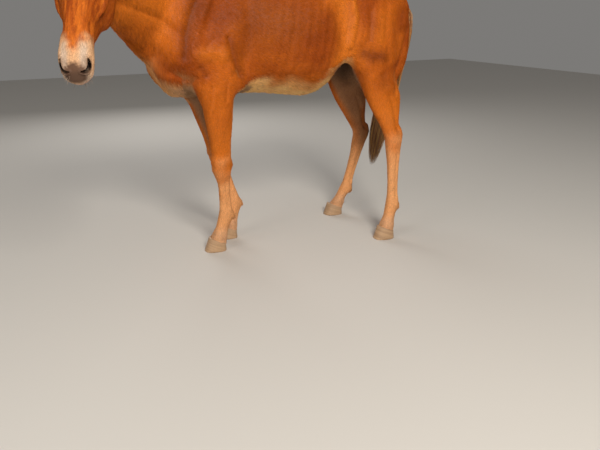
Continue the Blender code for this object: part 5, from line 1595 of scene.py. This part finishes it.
rng = np.random.default_rng(24)
count = EAR_HAIRS
for side in SIDES:
    root, upright, mouth, across = (np.array(axis) for axis in ear_frame(side))
    share = 0.12 + 0.55 * rng.random(count) ** 1.5
    at_edge = rng.random(count) < 0.75
    from_middle = np.where(at_edge, rng.uniform(0.80, 0.98, count), rng.uniform(0.0, 0.80, count))
    angle = np.radians(np.interp(share, EAR_SHARES, EAR_WRAPS) * from_middle)
    angle *= np.where(rng.random(count) < 0.5, -1.0, 1.0)
    radius = np.interp(share, EAR_SHARES, EAR_RADII) - 0.0035
    up_ear = EAR_HOLLOW + share * (EAR_LENGTH - EAR_HOLLOW)
    middle = root + upright * up_ear[:, None] + mouth * (EAR_HOOK * share**2)[:, None]
    wall = -mouth * (EAR_FLATNESS * np.cos(angle))[:, None] + across * np.sin(angle)[:, None]
    roots = middle + wall * radius[:, None]
    ways = -wall * 0.55 + upright * 0.75 + mouth * 0.30 + rng.normal(size=(count, 3)) * 0.20
    ends = -wall * 0.35 + upright * 0.95 + mouth * 0.05 + rng.normal(size=(count, 3)) * 0.20
    lengths = (0.046 - 0.030 * share) * rng.uniform(0.6, 1.2, count)
    paths = bent_paths(roots, ways, ends, lengths, 5, rng)
    reds = mixed(BRIGHT, CHESTNUT_HAIR, rng.random(count))
    reds = mixed(reds, EAR_EDGE, ramp(share, 0.25, 0.60) * 0.9)
    add_locks("ear_hair_" + side, paths, rng.uniform(0.0007, 0.0013, count), mouth,
              varied(reds, 0.2, rng), varied(reds * 1.15, 0.2, rng))

# ---------------------------------------------------------------------------------------------------------
# The lashes and whiskers. Stiff hairs stand out from the upper lids, and fine long ones from the lips, the
# chin and below the eyes.
# ---------------------------------------------------------------------------------------------------------

UPPER_LASHES, LOWER_LASHES = 44, 14
LASH_BLACK = (0.030, 0.014, 0.009)
LASH_LIFT = 0.0016              # how far the lashes' roots are from the ball
LIP_WHISKERS, CHIN_WHISKERS, EYE_WHISKERS = 34, 28, 8

rng = np.random.default_rng(25)
roots, ways, ends, lengths = [], [], [], []
for side in SIDES:
    gaze, corner, upper = eye_axes(side)
    for number in range(UPPER_LASHES + LOWER_LASHES):
        on_upper = number < UPPER_LASHES
        share = number / (UPPER_LASHES - 1) if on_upper else (number - UPPER_LASHES) / (LOWER_LASHES - 1)
        along = -0.86 + 1.72 * share + rng.normal() * 0.015
        rise = np.sqrt(max(0.0, 1.0 - along**2)) * (1.0 - 0.30 * along**2)
        height = (UPPER_LID_RISE * rise if on_upper else -LOWER_LID_FALL * rise) - 0.10 * along + 0.02
        across = along * LID_HALF_LENGTH
        out = np.sqrt(max(0.05, 1.0 - across**2 - height**2))
        way = corner * across + upper * height + gaze * out
        way /= np.linalg.norm(way)
        roots.append(np.array(eye_middle[side]) + way * (EYE_RADIUS + LASH_LIFT))
        sign = 1.0 if on_upper else -1.0
        ways.append(gaze * 0.95 + upper * 0.10 * sign + corner * 0.35 * along + rng.normal(size=3) * 0.10)
        ends.append(gaze * 0.55 + upper * (0.75 * sign) + corner * 0.45 * along + rng.normal(size=3) * 0.14)
        lengths.append((0.0125 if on_upper else 0.007) * rng.uniform(0.75, 1.2))
paths = bent_paths(np.array(roots), np.array(ways), np.array(ends), np.array(lengths), 5, rng, 0.02)
black = np.tile(np.array(LASH_BLACK), (len(paths), 1))
add_locks("lashes", paths, np.full(len(paths), 0.0006), FACE_OUT, black, black)

# The whiskers' places on the head: beside the nose, on the chin and below the eyes.
places = [(rng.uniform(0.545, 0.612), rng.uniform(0.056, 0.092),
           rng.choice([-1.0, 1.0]) * rng.uniform(0.012, 0.050)) for _ in range(LIP_WHISKERS)]
places += [(rng.uniform(0.545, 0.600), rng.uniform(0.112, 0.134), rng.uniform(-0.030, 0.030))
           for _ in range(CHIN_WHISKERS)]
places += [(rng.uniform(0.185, 0.235), rng.uniform(0.085, 0.115), rng.choice([-1.0, 1.0]) * 0.095)
           for _ in range(EYE_WHISKERS)]
roots, facing = rooted([on_head(*place) for place in places])
count = len(roots)
ways = facing * 0.9 + np.array(FACE_DOWN) * 0.25 + rng.normal(size=(count, 3)) * 0.18
ends = ways + np.array(FACE_DOWN - UP * 0.6) * 0.6
paths = bent_paths(roots, ways, ends, rng.uniform(0.010, 0.026, count), 6, rng, 0.04)
pale = mixed(CREAM, DARK_HAIR, rng.random(count) * 0.7)
add_locks("whiskers", paths, np.full(count, 0.0005), FACE_OUT, pale, pale)

# ---------------------------------------------------------------------------------------------------------
# The camera, the floor and the lamps of a plain studio. A large soft key lamp stands ahead of the animal's
# left side, with weaker ones in front and on the far side.
# ---------------------------------------------------------------------------------------------------------

CAMERA_PLACE = Vector((2.5987, -1.2165, 1.183))
CAMERA_TURN, CAMERA_PITCH = radians(62.0), radians(19.75)
camera_data = bpy.data.cameras.new("camera")
camera_data.sensor_width = 36.0
camera_data.lens = 36.6
camera = bpy.data.objects.new("camera", camera_data)
bpy.context.collection.objects.link(camera)
back = Vector((sin(CAMERA_TURN) * cos(CAMERA_PITCH), -cos(CAMERA_TURN) * cos(CAMERA_PITCH),
               sin(CAMERA_PITCH)))
right = Vector((cos(CAMERA_TURN), sin(CAMERA_TURN), 0.0))
turn = Matrix((right, back.cross(right), back)).transposed().to_4x4()
camera.matrix_world = Matrix.Translation(CAMERA_PLACE) @ turn
bpy.context.scene.camera = camera

floor_mesh = bmesh.new()
bmesh.ops.create_grid(floor_mesh, x_segments=1, y_segments=1, size=9.0)
floor = new_object("floor", floor_mesh)
floor.data.materials.append(new_material("floor_paint", (0.60, 0.575, 0.54), 0.9)[0])

world = bpy.data.worlds.new("studio")
bpy.context.scene.world = world
world.use_nodes = True
world.node_tree.nodes["Background"].inputs["Color"].default_value = (1.0, 0.97, 0.93, 1.0)
world.node_tree.nodes["Background"].inputs["Strength"].default_value = 0.20


def add_lamp(name, place, aim, size, watts, colour):
    """A round lamp at a place, turned to what it is aimed at."""
    lamp_data = bpy.data.lights.new(name, "AREA")
    lamp_data.shape = "DISK"
    lamp_data.size = size
    lamp_data.energy = watts
    lamp_data.color = colour
    lamp = bpy.data.objects.new(name, lamp_data)
    bpy.context.collection.objects.link(lamp)
    turn = (Vector(place) - Vector(aim)).to_track_quat("Z", "Y")
    lamp.matrix_world = Matrix.Translation(place) @ turn.to_matrix().to_4x4()


add_lamp("key", (4.0, -0.5, 3.3), (0.0, 0.0, 0.85), 1.6, 215.0, (1.0, 0.95, 0.87))
add_lamp("front", (1.4, -4.2, 1.9), (0.0, -0.3, 0.8), 2.4, 42.0, (1.0, 0.97, 0.92))
add_lamp("far_side", (-4.0, 0.6, 2.6), (0.0, 0.0, 0.8), 2.6, 60.0, (1.0, 0.98, 0.95))
bpy.context.scene.view_settings.view_transform = "Standard"
